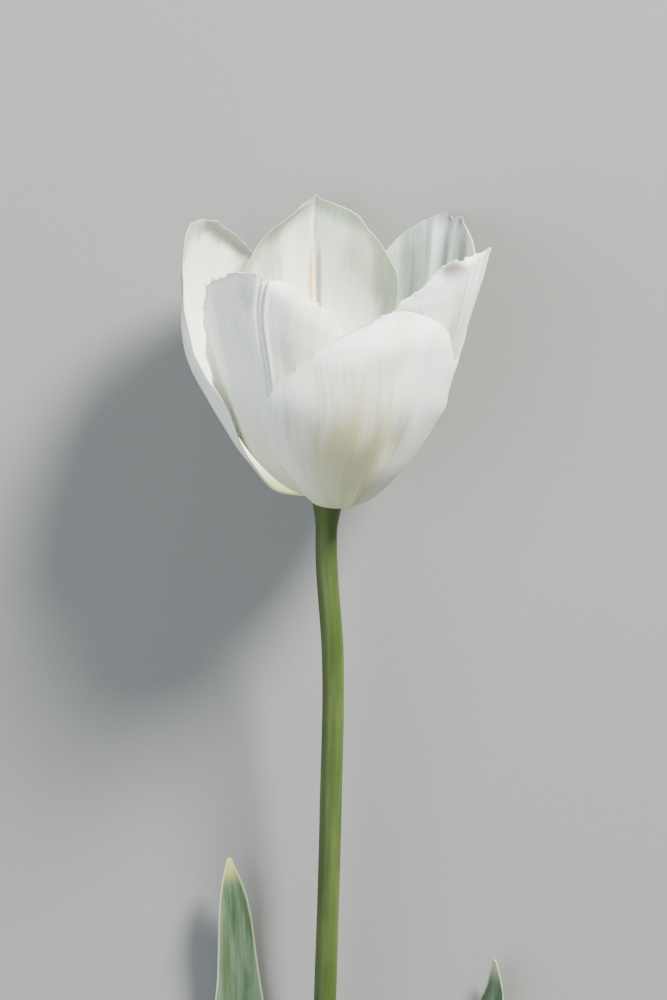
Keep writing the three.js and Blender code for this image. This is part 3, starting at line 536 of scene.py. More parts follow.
class Petal:
    """The form of one petal: across and along are distances on the flattened petal, in mm."""

    def __init__(self, facts):
        self.facts = facts
        ring = facts["ring"]
        foot = (PETAL_FOOT_RADIUS, PETAL_FOOT_HEIGHT[ring])
        self.rib, self.length = by_length([foot, RIB_FOOT[ring], *facts["rib"]])
        azimuth = radians(facts["azimuth"])
        self.out = np.array([cos(azimuth), sin(azimuth), 0.0])
        self.side = np.array([-sin(azimuth), cos(azimuth), 0.0])
        self.up = np.array([0.0, 0.0, 1.0])

    def flat(self, rows, columns):
        """A grid that fills the petal's outline: across, along, the share v of the half width, and the
        same share as far as it bends the blade, which is less at the narrow tip."""
        facts = self.facts
        widest = facts["widest"]
        shoulder, tip_left, tip_right = facts["tip"]
        even = np.linspace(-1, 1, columns + 1)
        climb = 1 - (1 - np.linspace(0, 1, rows + 1)) ** ROW_CROWDING
        s, v = np.meshgrid(climb, even * (1 - COLUMN_CROWDING + COLUMN_CROWDING * even ** 2),
                           indexing="ij")
        turn = np.maximum(0, (s - widest) / (1 - widest)) * TIP_END * pi / 2
        reach = (np.sin(turn) / sin(TIP_END * pi / 2)) ** (2 / shoulder)
        u = np.where(s < widest, s, widest + (1 - widest) * reach)
        swell = np.sin(np.minimum(s / widest, 1) * pi / 2) ** facts["belly"]
        rounded = np.cos(turn) ** (2 / np.where(v < 0, tip_left, tip_right))
        share = np.where(s < widest, facts["foot"] + (1 - facts["foot"]) * swell, rounded)
        half = np.where(v < 0, facts["width"][0], facts["width"][1])
        lean = v * np.minimum(1, half * share / TIP_CALM)
        return v * half * share, u * self.length, v, lean

    def point(self, across, along, v):
        """The petal's plain outer face."""
        facts = self.facts
        u = along / self.length
        curl = read(facts.get("bend", BEND[facts["ring"]]), np.clip(u, 0, 1))
        left, right = facts.get("flare_left", EVEN), facts.get("flare_right", EVEN)
        flare = np.where(v < 0, read(left, u), read(right, u))
        fold = read(facts.get("fold", EVEN), u)
        sway = read(facts.get("sway", EVEN), u)
        claw = PETAL_FOOT_RADIUS - np.sqrt(np.maximum(PETAL_FOOT_RADIUS ** 2 - across ** 2, 1))
        slide = -claw * np.maximum(0, 1 - u / PETAL_CLAW) ** 2
        lift = (-(1 - np.cos(curl * across)) / curl + flare * np.abs(v) ** 3
                + fold * np.exp(-np.abs(across) / FOLD_REACH))
        rib = smooth(self.rib, u)
        ahead = smooth(self.rib, u + 1e-3) - smooth(self.rib, u - 1e-3)
        ahead /= np.linalg.norm(ahead, axis=-1, keepdims=True)
        rib_r, rib_z = ahead[..., 0], ahead[..., 1]
        radius = rib[..., 0] + rib_z * lift + rib_r * slide
        height = rib[..., 1] - rib_r * lift + rib_z * slide
        sideways = np.sin(curl * across) / curl + sway
        return (radius[..., None] * self.out + sideways[..., None] * self.side
                + height[..., None] * self.up)

    def frame_at(self, across, along, v):
        """The point, the unit normal and the two unit tangents of the plain outer face."""
        reach = 0.05
        here = self.point(across, along, v)
        over = self.point(across + reach, along, v) - self.point(across - reach, along, v)
        up = self.point(across, along + reach, v) - self.point(across, along - reach, v)
        over /= np.linalg.norm(over, axis=-1, keepdims=True)
        up /= np.linalg.norm(up, axis=-1, keepdims=True)
        normal = np.cross(over, up)
        normal /= np.linalg.norm(normal, axis=-1, keepdims=True)
        return here, normal, over, up

    def veins(self, across, along):
        """Where, at the petal's widest, the vein lies that runs through each point."""
        facts = self.facts
        u = along / self.length
        share = np.clip(u / facts["widest"], 0, 1)
        past = np.maximum(u - facts["widest"], 0) / (1 - facts["widest"])
        swell = facts["foot"] + (1 - facts["foot"]) * np.sin(share * pi / 2) ** facts["belly"]
        midrib = read(facts.get("midrib", EVEN), u)
        return (across - midrib) / (swell + facts.get("fan", 0.1) * past ** 2)

    def side_margin(self, across, along, sign):
        """One side's margin: how far it has run at each row, and its outward direction there."""
        column = 0 if sign < 0 else -1
        line = np.stack([across[:, column], along[:, column]], axis=1)
        ahead = np.gradient(line, axis=0)
        ahead /= np.maximum(np.linalg.norm(ahead, axis=1, keepdims=True), 1e-9)
        run = np.concatenate([[0], np.cumsum(np.linalg.norm(np.diff(line, axis=0), axis=1))])
        return run, np.stack([ahead[:, 1], -ahead[:, 0]], axis=1) * sign

    def push_margin(self, across, along, v):
        """Moves each side's margin outward by its slack, and drags the blade near it along."""
        moved = np.stack([across, along], axis=-1)
        for sign in (-1, 1):
            run, outward = self.side_margin(across, along, sign)
            column = 0 if sign < 0 else -1
            share, aside = along[:, column] / self.length, np.abs(across[:, column])
            weight = np.where(v * sign > 0, np.abs(v), 0) ** 8
            step = weight * self.slack(sign, run, share, aside)[:, None]
            moved += step[..., None] * outward[:, None, :]
        return moved[..., 0], moved[..., 1]

    def slack(self, sign, run, share, aside):
        """The petal's own bulges, and the strip that a rim needs to bend in without shrinking it."""
        reach = np.zeros_like(run)
        for side, start, low, high, width, angle in self.facts.get("lips", ()):
            if side == sign:
                turn = radians(angle)
                here = step_up(start, start + BEGINS_OVER, share) * step_up(low, high, aside)
                reach += width * (1 - sin(turn) / turn) * here
        for side, place, half, out in self.facts.get("juts", ()):
            if side == sign:
                reach += out * step_up(0, 1, 1 - np.abs(run[-1] - run - place) / half)
        return reach

    def tear(self, sign, run, share):
        """The uneven margin: torn steps and fine teeth."""
        facts = self.facts
        seed = facts["seed"] + sign
        depth, spacing = facts["ragged"][0 if sign < 0 else 1]
        teeth, gap = facts["fringe"]
        torn = 0.25 * (np.minimum(ripple(run, spacing * 1.5, seed), 1) - 1)
        torn -= 0.5 * tears(run, spacing, seed)
        fine = 0.5 * (np.minimum(ripple(run, gap, seed + 4), 1) - 1)
        start, less = TIP_TEAR_CALM
        calm = 1 - less * step_up(start, 1, share)
        return (depth * torn * step_up(*FADE_IN["tears"], share)
                + teeth * fine * step_up(*FADE_IN["teeth"], share)) * calm

    def to_margin(self, across, along):
        """For each point the distance to the margin, and there the margin's outward direction and how
        far it is torn."""
        top = across[-1, 1:-1]
        places = [np.stack([top, along[-1, 1:-1]], axis=1)]
        outwards = [np.tile([0.0, 1.0], (len(top), 1))]
        tears_at = [np.zeros(len(top))]
        for sign in (-1, 1):
            run, outward = self.side_margin(across, along, sign)
            column = 0 if sign < 0 else -1
            places.append(np.stack([across[:, column], along[:, column]], axis=1))
            outwards.append(outward)
            tears_at.append(self.tear(sign, run, along[:, column] / self.length))
        places, outwards, tears_at = (np.concatenate(each) for each in (places, outwards, tears_at))
        tree = kdtree.KDTree(len(places))
        for k, (x, y) in enumerate(places):
            tree.insert((x, y, 0), k)
        tree.balance()
        near = [tree.find_n((x, y, 0), MARGIN_POINTS)
                for x, y in zip(across.ravel(), along.ravel())]
        index = np.array([[k for _, k, _ in found] for found in near])
        gap = np.array([[distance for _, _, distance in found] for found in near])
        pull = outwards[index].sum(axis=1)
        pull /= np.maximum(np.linalg.norm(pull, axis=1, keepdims=True), 1e-6)
        weight = (gap + MARGIN_BLUR) ** -2
        torn = (tears_at[index] * weight).sum(axis=1) / weight.sum(axis=1)
        shape = across.shape
        return gap[:, 0].reshape(shape), pull.reshape(*shape, 2), torn.reshape(shape)

    def relief(self, across, along, vein, v, rim):
        """How far the real petal stands out from the plain blade, in mm."""
        facts = self.facts
        seed = facts["seed"]
        u = along / self.length
        height = np.full_like(u, -SKIN_DROP)
        for middle, rise, half, start, end in facts["grooves"]:
            reach = step_up(start, start + BEGINS_OVER, u) * (1 - step_up(end, end + ENDS_OVER, u))
            height += rise * reach * np.exp(-((vein - middle) / half) ** 2)
        rise, spacing, phase = facts["pleats"]
        angle, length = PLEAT_DRIFT
        drift = angle * ripple(along, length, seed + 5)
        height += rise * np.sin(2 * pi * vein / spacing + phase + drift) * step_up(*FADE_IN["pleats"], u)
        rise, spacing = FINE_RIDGES
        height += rise * ripple(vein, spacing, seed + 8) * step_up(*FADE_IN["ridges"], u)
        rise, spacing = facts["ruffle"]
        for sign in (-1, 1):
            wave = rise * ripple(along + 0.5 * np.abs(across), spacing, seed + 7 * sign)
            height += wave * np.where(v * sign > 0, np.abs(v), 0) ** 4 * step_up(*FADE_IN["ruffle"], u)
        rise, wide, long = SOFT_DENTS
        soft = ripple(across, wide, seed + 2) * ripple(along, long, seed + 3)
        height += rise * soft * step_up(*FADE_IN["dents"], u) * step_up(0, DENTS_CLEAR, rim)
        return height

    def build(self, rows, columns):
        """Outer points, the way inward, and what the materials read: vein, along and rim distance."""
        across, along, v, lean = self.flat(rows, columns)
        across, along = self.push_margin(across, along, v)
        rim, direction, torn = self.to_margin(across, along)
        torn *= np.maximum(1 - rim / TEAR_PULL, 0) ** 2 * step_up(0, 0.35, np.abs(v))
        across = across + torn * direction[..., 0]
        along = along + torn * direction[..., 1]
        rim = np.maximum(rim - torn, 0)
        sheet = untangle(np.dstack([across, along, v, lean, rim, direction]))
        across, along, v, lean, rim = np.moveaxis(sheet[..., :5], -1, 0)
        direction = sheet[..., 5:]
        for middle, half, depth in self.facts.get("notches", ()):
            along = along - (depth * np.exp(-((across - middle) / half) ** 2)
                             * step_up(0.9, 1.0, along / self.length))
        over, turn, inset = (np.zeros_like(across) for _ in range(3))
        for side, start, low, high, width, angle in self.facts.get("lips", ()):
            here = (step_up(start, start + BEGINS_OVER, along / self.length)
                    * step_up(low, high, across * side))
            reach = np.maximum(width - rim, 0) * here
            radius = width / radians(angle)
            over = np.maximum(over, reach)
            turn = np.maximum(turn, reach / radius)
            inset = np.maximum(inset, radius * (1 - np.cos(reach / radius)))
        line_across = across - over * direction[..., 0]
        line_along = along - over * direction[..., 1]
        here, normal, sideways, upward = self.frame_at(line_across, line_along, lean)
        vein = self.veins(across, along)
        height = self.relief(across, along, vein, v, rim)
        out = direction[..., :1] * sideways + direction[..., 1:] * upward
        forward = over * np.sinc(turn / pi)
        points = here + normal * (height - inset)[..., None] + out * forward[..., None]
        inward = -(normal * np.cos(turn)[..., None] + out * np.sin(turn)[..., None])
        return points, inward, vein, along, rim


def put(tree, kind, settings, inputs, output=0):
    """Adds a node with its settings, and its inputs as plain values or other nodes' outputs. Inputs
    and output go by name, or by number where several share one."""
    node = tree.nodes.new(kind)
    for key, value in settings.items():
        setattr(node, key, value)
    for key, value in inputs.items():
        if isinstance(value, bpy.types.NodeSocket):
            tree.links.new(value, node.inputs[key])
        else:
            node.inputs[key].default_value = value
    return node.outputs[output] if node.outputs else None


def new_material(name):
    material = bpy.data.materials.new(name)
    material.use_nodes = True
    material.node_tree.nodes.clear()
    return material, material.node_tree


def colour4(rgb):
    return (*rgb[:3], 1.0)


def blade_marks(tree):
    """What make_piece keeps at each vertex: the vector, then its second and its third part."""
    place = put(tree, "ShaderNodeAttribute", {"attribute_name": "blade"}, {}, "Vector")
    parts = put(tree, "ShaderNodeSeparateXYZ", {}, {0: place}).node.outputs
    return place, parts["Y"], parts["Z"]


def pattern(tree, place, size, detail, roughness=0.55, shift=(0, 0, 0), dimensions="2D"):
    """A random pattern of spots or streaks, whose size is their width and length in mm."""
    scale = (1 / size[0], 1 / size[1], 0)
    where = put(tree, "ShaderNodeVectorMath", MULTIPLY_ADD, {0: place, 1: scale, 2: shift})
    return put(tree, "ShaderNodeTexNoise", {"noise_dimensions": dimensions}, {
        "Vector": where, "Scale": 1.0, "Detail": detail, "Roughness": roughness})


def lay_tint(tree, colour, tint, value, window, strength):
    """Lays a tint over a colour. As the value crosses the window, from its low end to its high one,
    the tint goes from the first strength to the second."""
    share = put(tree, "ShaderNodeMapRange", SMOOTH, {
        "Value": value, "From Min": window[0], "From Max": window[1],
        "To Min": strength[0], "To Max": strength[1]})
    return put(tree, "ShaderNodeMix", MIX_COLOURS, {0: share, 6: colour, 7: colour4(tint)}, 2)


# Petal: living tepal tissue, white because air between its cells scatters light. It is soft, satin
# and a little see-through, with lengthwise veins, greener at its foot. Some of its patches are
# painted shade and painted light, and painted shade lies along its upper margin.
def petal_tissue(settings, facts):
    material, tree = new_material("petal tissue, " + facts["name"].replace("_", " "))
    place, along, rim = blade_marks(tree)
    spacing, seed = settings.vein_spacing / MM, facts["seed"]
    fibre = pattern(tree, place, (spacing, spacing * 30), 1.0, shift=(0, seed, 0))
    streak = pattern(tree, place, (spacing * 4, spacing * 40), 3.0, shift=(9, seed, 0))
    cloud = pattern(tree, place, PETAL_CLOUD, 3.0, shift=(20, seed, 0))
    colour = colour4(settings.white)
    for value, window, strength, tint in (
            (cloud, (0.5, 0.8), 0.5, linear("#DFE4DB")),
            (streak, (0.45, 0.8), 0.2, settings.vein_tint),
            (fibre, (0.48, 0.66), 0.28, settings.vein_tint)):
        colour = lay_tint(tree, colour, tint, value, window, (0.0, strength))
    # Stains, and patches of painted shade and painted light, each as listed with its petal
    for middle, height, half, length, tint, strength in facts["stains_and_painted_light"]:
        away = put(tree, "ShaderNodeVectorMath", MULTIPLY_ADD, {
            0: place, 1: (1 / half, 1 / length, 0), 2: (-middle / half, -height / length, 0)})
        away = put(tree, "ShaderNodeVectorMath", {"operation": "LENGTH"}, {0: away}, "Value")
        uneven = put(tree, "ShaderNodeMath", MULTIPLY_ADD, {0: streak, 1: 0.8, 2: away})
        colour = lay_tint(tree, colour, linear(tint), uneven, PATCH_FADE, (strength, 0.0))
    # Painted shade along the upper margin: it stands in for the shade under a rim that curls in and for
    # the dark seen through the thin tissue
    width, start, tint, strength = facts["thin"]
    upper = put(tree, "ShaderNodeMapRange", SMOOTH, {
        "Value": along, "From Min": start, "From Max": start + RIM_SHADE_RISE, "To Max": strength})
    uneven = put(tree, "ShaderNodeMath", MULTIPLY_ADD, {0: streak, 1: 0.5 * width, 2: rim})
    colour = lay_tint(tree, colour, linear(tint), uneven, (0.5 * width, 1.25 * width), (upper, 0.0))
    colour = lay_tint(tree, colour, linear("#E2E2C4"), along, (8, 48), (0.45, 0.0))
    colour = lay_tint(tree, colour, settings.foot, along, (3, 24), (0.75, 0.0))
    if facts.get("specks"):
        cells = put(tree, "ShaderNodeTexVoronoi", {"voronoi_dimensions": "2D"}, {
            "Vector": place, "Scale": 1 / SPECK_SPACING, "Randomness": 1.0})
        fade = [radius / SPECK_SPACING for radius in SPECK_RADIUS]
        colour = lay_tint(tree, colour, linear("#5E5A4C"), cells, fade, (0.6, 0.0))
    height = put(tree, "ShaderNodeMath", MULTIPLY_ADD, {0: streak, 1: 0.7, 2: fibre})
    relief = put(tree, "ShaderNodeBump", {}, {
        "Strength": 0.6, "Distance": settings.vein_height, "Height": height})
    roughness = put(tree, "ShaderNodeMapRange", SMOOTH, {
        "Value": streak, "From Min": 0.2, "From Max": 0.8, "To Min": 0.46, "To Max": 0.6})
    shader = put(tree, "ShaderNodeBsdfPrincipled", {}, {
        "Base Color": colour, "Roughness": roughness, "Normal": relief,
        "IOR": 1.4, "Specular IOR Level": 0.4,
        "Subsurface Weight": settings.see_through, "Subsurface Radius": (0.95, 1.0, 0.85),
        "Subsurface Scale": 0.6 * MM, "Sheen Weight": 0.08, "Sheen Roughness": 0.4,
    })
    put(tree, "ShaderNodeOutputMaterial", {}, {"Surface": shader})
    return material


# The green parts: fresh waxy skin over juicy tissue. A pale bloom of wax dulls it, and fine fibres
# run along it. It is darker between its fibres, and pale along a leaf's margin and at its tip.
def green_skin(name, colour, darker, bloom, wax, spacing, tip=None):
    material, tree = new_material(name)
    place, along, rim = blade_marks(tree)
    fibre = pattern(tree, place, (spacing, spacing * 40), 2.0, roughness=0.5, dimensions="3D")
    cloud = pattern(tree, place, WAX_PATCH, 4.0, dimensions="3D")
    deep = colour4([c * darker for c in colour])
    skin = lay_tint(tree, deep, colour, fibre, (0.35, 0.65), (0.0, 1.0))
    skin = lay_tint(tree, skin, bloom, cloud, (0.35, 0.7), (0.25 * wax, wax))
    skin = lay_tint(tree, skin, linear("#C9D2A6"), rim, (0.15, 0.7), (0.55, 0.0))
    if tip is not None:
        tint, window = tip
        skin = lay_tint(tree, skin, linear(tint), along, window, (0.0, 0.85))
    relief = put(tree, "ShaderNodeBump", {}, {"Strength": 0.45, "Distance": 0.1 * MM, "Height": fibre})
    roughness = put(tree, "ShaderNodeMapRange", {}, {
        "Value": cloud, "From Min": 0.3, "From Max": 0.7, "To Min": 0.36, "To Max": 0.52})
    shader = put(tree, "ShaderNodeBsdfPrincipled", {}, {
        "Base Color": skin, "Roughness": roughness, "Normal": relief,
        "IOR": 1.42, "Specular IOR Level": 0.45, "Subsurface Weight": 0.12,
        "Subsurface Radius": (0.6, 1.0, 0.3), "Subsurface Scale": 1 * MM,
    })
    put(tree, "ShaderNodeOutputMaterial", {}, {"Surface": shader})
    return material


# Soft inner parts: moist living tissue of one colour with a fine grain. The ovary's skin is smooth
# and the filament's almost so, the stigma's velvet and the pollen are dull and grainy, and the cut
# is wet, so that it alone has a coat. grain and height are in mm.
def soft_tissue(name, colour, second, grain, roughness, height, wet=0.0):
    material, tree = new_material(name)
    place = put(tree, "ShaderNodeTexCoord", {}, {}, "Object")
    noise = put(tree, "ShaderNodeTexNoise", {}, {
        "Vector": place, "Scale": 1 / (grain * MM), "Detail": 3.0, "Roughness": 0.6})
    mixed = lay_tint(tree, colour4(colour), linear(second), noise, (0.35, 0.65), (0.0, 1.0))
    relief = put(tree, "ShaderNodeBump", {}, {
        "Strength": 0.6, "Distance": height * MM, "Height": noise})
    shader = put(tree, "ShaderNodeBsdfPrincipled", {}, {
        "Base Color": mixed, "Roughness": roughness, "Normal": relief,
        "IOR": 1.4, "Specular IOR Level": 0.4, "Coat Weight": wet, "Subsurface Weight": 0.2,
        "Subsurface Radius": (1.0, 0.9, 0.5), "Subsurface Scale": 1 * MM,
    })
    put(tree, "ShaderNodeOutputMaterial", {}, {"Surface": shader})
    return material


# Stage: matte card, even but for a faint paper grain.
def stage_card(colour):
    material, tree = new_material("matte studio card")
    place = put(tree, "ShaderNodeTexCoord", {}, {}, "Object")
    noise = put(tree, "ShaderNodeTexNoise", {}, {
        "Vector": place, "Scale": 1 / (CARD_GRAIN * MM), "Detail": 2.0})
    darker = colour4([c * 0.985 for c in colour])
    mixed = put(tree, "ShaderNodeMix", MIX_COLOURS, {0: noise, 6: darker, 7: colour4(colour)}, 2)
    shader = put(tree, "ShaderNodeBsdfPrincipled", {}, {
        "Base Color": mixed, "Roughness": 0.9, "Specular IOR Level": 0.1})
    put(tree, "ShaderNodeOutputMaterial", {}, {"Surface": shader})
    return material


def length_setting(name, description, size, least, most):
    """A length that a user can change. size, least and most are in mm."""
    return FloatProperty(name=name, description=description, default=size * MM, min=least * MM,
                         max=most * MM, precision=5, unit="LENGTH")


def colour_setting(name, description, code):
    return FloatVectorProperty(name=name, description=description, default=linear(code),
                               min=0, max=1, subtype="COLOR")


class TulipPetalSettings(bpy.types.PropertyGroup):
    """Sizes and colours of the petals"""
    thickness: length_setting("Thickness", "Thickness of a petal at its middle", 0.55, 0.2, 0.8)
    rim_thickness: length_setting(
        "Rim thickness", "Thickness of a petal at its margin", 0.26, 0.1, 0.8)
    vein_spacing: length_setting(
        "Vein spacing", "Distance between two fine veins where the petal is widest", 0.75, 0.2, 2)
    vein_height: length_setting("Vein height", "How far the veins stand out", 0.11, 0, 0.5)
    see_through: FloatProperty(
        name="Translucency", description="Share of the light that scatters through the petal",
        default=0.4, min=0, max=1, subtype="FACTOR")
    rows: IntProperty(name="Rows", description="Faces along a petal", default=176, min=20, max=300)
    columns: IntProperty(name="Columns", description="Faces across a petal", default=144, min=16, max=200)
    white: colour_setting("White", "Colour of the petals", "#ECF1E8")
    vein_tint: colour_setting("Vein tint", "Colour of the petals along their veins", "#CDD3C9")
    foot: colour_setting("Foot", "Colour of the petals at their foot", "#C4CB86")


class TulipGreenSettings(bpy.types.PropertyGroup):
    """Sizes and colours of the stalk and the leaves"""
    stalk: colour_setting("Stalk", "Colour of the stalk", "#37481D")
    leaf: colour_setting("Leaf", "Colour of the leaves under their wax", "#36502E")
    wax: colour_setting("Wax", "Colour of the waxy bloom on the leaves", "#788E74")
    leaf_thickness: length_setting("Leaf thickness", "Thickness of a leaf at its middle", 0.75, 0.3, 0.9)
    fibre_spacing: length_setting("Fibre spacing", "Distance between two fibres", 0.5, 0.2, 2)


class TulipHeartSettings(bpy.types.PropertyGroup):
    """Colours of the pistil and the stamens"""
    ovary: colour_setting("Ovary", "Colour of the ovary", "#A9BA74")
    stigma: colour_setting("Stigma", "Colour of the stigma", "#E6DFB2")
    filament: colour_setting("Filament", "Colour of the stamens' stalks", "#E9E6C9")
    pollen: colour_setting("Pollen", "Colour of the pollen on the anthers", "#D9BC62")


class TulipStageSettings(bpy.types.PropertyGroup):
    """Floor and lights"""
    floor: colour_setting("Floor", "Colour of the floor", "#838583")
    key: FloatProperty(name="Key light", description="Strength of the key light", default=150.0,
                       min=0, unit="POWER")
    fill: FloatProperty(name="Fill light", description="Strength of the fill light", default=36.0,
                        min=0, unit="POWER")
    ambient: FloatProperty(name="Ambient", description="Strength of the light from all round",
                           default=0.42, min=0)


class TulipSettings(bpy.types.PropertyGroup):
    """All settings of the tulip"""
    petals: PointerProperty(type=TulipPetalSettings, name="Petals", description="Petals")
    green: PointerProperty(type=TulipGreenSettings, name="Green", description="Stalk and leaves")
    heart: PointerProperty(type=TulipHeartSettings, name="Heart", description="Pistil and stamens")
    stage: PointerProperty(type=TulipStageSettings, name="Stage", description="Floor and lights")


class TULIP_OT_petals(bpy.types.Operator):
    """Builds the six petals of the cup"""
    bl_idname = "tulip.petals"
    bl_label = "Petals"

    def execute(self, context):
        settings = context.scene.tulip.petals
        faces = blade_faces(settings.rows, settings.columns)
        middle, edge = settings.thickness / MM, settings.rim_thickness / MM
        thicker, foot = FOOT_THICKENING
        for facts in PETALS:
            sheet = Petal(facts).build(settings.rows, settings.columns)
            along, rim = sheet[-2:]
            thickness = edge + (middle - edge) * step_up(0, PETAL_RIM_WIDTH, rim)
            thickness += thicker * (1 - step_up(0, foot, along))
            make_blade(facts["name"], faces, sheet, thickness, petal_tissue(settings, facts))
        return {"FINISHED"}


class TULIP_OT_stalk(bpy.types.Operator):
    """Builds the stalk with its receptacle and its slanted cut"""
    bl_idname = "tulip.stalk"
    bl_label = "Stalk"

    def execute(self, context):
        settings = context.scene.tulip.green
        z, radius = self.outline()
        rows, sides = len(z), STALK_SIDES
        tube, marks = self.skin(z, radius)
        middle = tube[0].mean(axis=0)
        depth, end = CUT_DIP
        rings = []
        for k in range(1, CUT_RINGS + 1):
            inward = k / (CUT_RINGS + 1)
            dip = depth * sin(pi * min(inward / end, 1)) * inward
            rings.append(tube[0] * (1 - inward) + middle * inward + np.array([0, 0, dip]))
        points = np.concatenate([tube.reshape(-1, 3), *rings, [middle], [tube[-1].mean(axis=0)]])
        marks = np.concatenate([marks, np.zeros((len(points) - len(marks), 3))])

        faces = loft_faces(rows, sides)
        skin = len(faces)
        around = [(j, (j + 1) % sides) for j in range(sides)]
        starts = [0] + [(rows + k) * sides for k in range(CUT_RINGS)]
        centre = (rows + CUT_RINGS) * sides
        for low, high in zip(starts, starts[1:]):
            faces += [(low + n, low + j, high + j, high + n) for j, n in around]
        faces += [(starts[-1] + n, starts[-1] + j, centre) for j, n in around]
        cut = len(faces)
        last = (rows - 1) * sides
        faces += [(last + j, last + n, centre + 1) for j, n in around]
        face_slots = [0] * skin + [1] * (cut - skin) + [0] * sides
        materials = [
            green_skin("fresh stalk skin", settings.stalk, 0.8, linear("#677A40"), 0.35,
                       settings.fibre_spacing / MM),
            soft_tissue("wet cut tissue", linear("#C5CF9B"), "#9FB070", 0.35, 0.35, 0.08, wet=0.4),
        ]
        make_piece("stem", points, faces, materials, marks, face_slots)
        return {"FINISHED"}

    def outline(self):
        """The height and the radius of each ring of the skin, from the cut to the crown."""
        shaft_rows, neck_rows, crown_rows = STALK_ROWS
        neck_low, neck_high = NECK[0][0], NECK[-1][0]
        z = np.concatenate([np.linspace(-STEM_LENGTH, neck_low, shaft_rows)[:-1],
                            np.linspace(neck_low, neck_high, neck_rows)])
        share = np.clip((z + STEM_LENGTH) / (STEM_LENGTH + neck_low), 0, 1)
        shaft = STEM_FOOT_RADIUS + (STEM_RADIUS - STEM_FOOT_RADIUS) * share
        radius = np.where(z < neck_low, shaft, read(NECK, z))
        top = np.linspace(0, pi / 2, crown_rows + 1)[1:]
        crown = np.maximum(NECK[-1][1] * np.cos(top) ** CROWN_BLUNTNESS, CROWN_END)
        z = np.concatenate([z, neck_high + (RECEPTACLE_TOP - neck_high) * np.sin(top)])
        return z, np.concatenate([radius, crown])

    def skin(self, z, radius):
        """The rings of the skin, and what its material reads. The stalk has no margin, so that the
        distance to it is a large one everywhere."""
        angle = 2 * pi * np.arange(STALK_SIDES) / STALK_SIDES
        Z, A = np.meshgrid(z, angle, indexing="ij")
        height, spacing = STALK_SWELL
        uneven = waves(STALK_RIBS, A, Z) + height * ripple(Z, spacing, 5)
        body = step_up(-STEM_LENGTH, -STEM_LENGTH + RIBS_BEGIN_OVER, Z) * (1 - step_up(*RIBS_END, Z))
        R = radius[:, None] + uneven * body - STALK_SKIN_DROP
        slant = tan(CUT_SLANT) * R * np.cos(A) * np.maximum(0, 1 - (Z + STEM_LENGTH) / CUT_REACH)
        bow = np.where(Z < 0, read(STEM_BOW, -Z / STEM_LENGTH), 0)
        tube = np.stack([bow + R * np.cos(A), R * np.sin(A), Z + slant], axis=-1)
        tube += np.maximum(-height_above_table(tube), 0)[..., None] * TABLE_UP
        far = np.full(A.shape, NO_MARGIN)
        return tube, np.stack([A * STEM_RADIUS, Z, far], axis=-1).reshape(-1, 3)


class TULIP_OT_pistil(bpy.types.Operator):
    """Builds the three-sided ovary and its frilled stigma"""
    bl_idname = "tulip.pistil"
    bl_label = "Pistil"

    def execute(self, context):
        settings = context.scene.tulip.heart
        side_rows, top_rows = PISTIL_ROWS
        z = np.linspace(HEART_FOOT, PISTIL[-1][0], side_rows)
        profile = smooth(PISTIL, z)
        angle = 2 * pi * np.arange(PISTIL_SIDES) / PISTIL_SIDES
        Z, A = np.meshgrid(z, angle, indexing="ij")
        radius, lobe = profile[:, :1], profile[:, 1:]
        R = radius * (1 - lobe + lobe * np.cos(3 * A + pi / 2))
        depth, breadth = OVARY_SEAM
        seam = np.exp(-((1 - np.cos(3 * A - pi / 2)) / breadth))
        R = R - depth * seam * (1 - step_up(*SEAM_END, Z)) * step_up(*SEAM_BEGIN, Z)
        from_lobe = 1 - np.cos(3 * A + pi / 2)
        depth, breadth = STIGMA_CREASE
        frills = waves(STIGMA_FRILLS, A) - depth * np.exp(-from_lobe / breadth)
        R = R + frills * step_up(*FRILLS_FROM, Z)
        side = np.stack([R * np.cos(A), R * np.sin(A), Z], axis=-1)
        inward = np.linspace(0, 1, top_rows + 1)[1:-1, None]
        roll, dip, slit = STIGMA_TOP
        top = side[-1] * (1 - inward[..., None])
        top[..., 2] = (z[-1] + roll * np.sin(pi * np.minimum(2 * inward, 1)) - dip * inward ** 2
                       - slit * np.exp(-50 * from_lobe[:1] * (1.05 - inward) ** 2))
        rings = np.concatenate([side, top]).reshape(-1, 3)
        ends = np.array([[0, 0, HEART_FOOT], [0, 0, z[-1] - STIGMA_FLOOR]])
        change = int((STIGMA_FROM - HEART_FOOT) / (z[1] - z[0]))
        faces, face_slots = shut_tube(side_rows + top_rows - 1, PISTIL_SIDES, change)
        materials = [soft_tissue("ovary skin", settings.ovary, "#93A75F", 1.2, 0.42, 0.05),
                     soft_tissue("stigma velvet", settings.stigma, "#D2CB94", 0.4, 0.75, 0.2)]
        make_piece("pistil", np.concatenate([rings, ends]), faces, materials,
                   face_slots=face_slots)
        return {"FINISHED"}


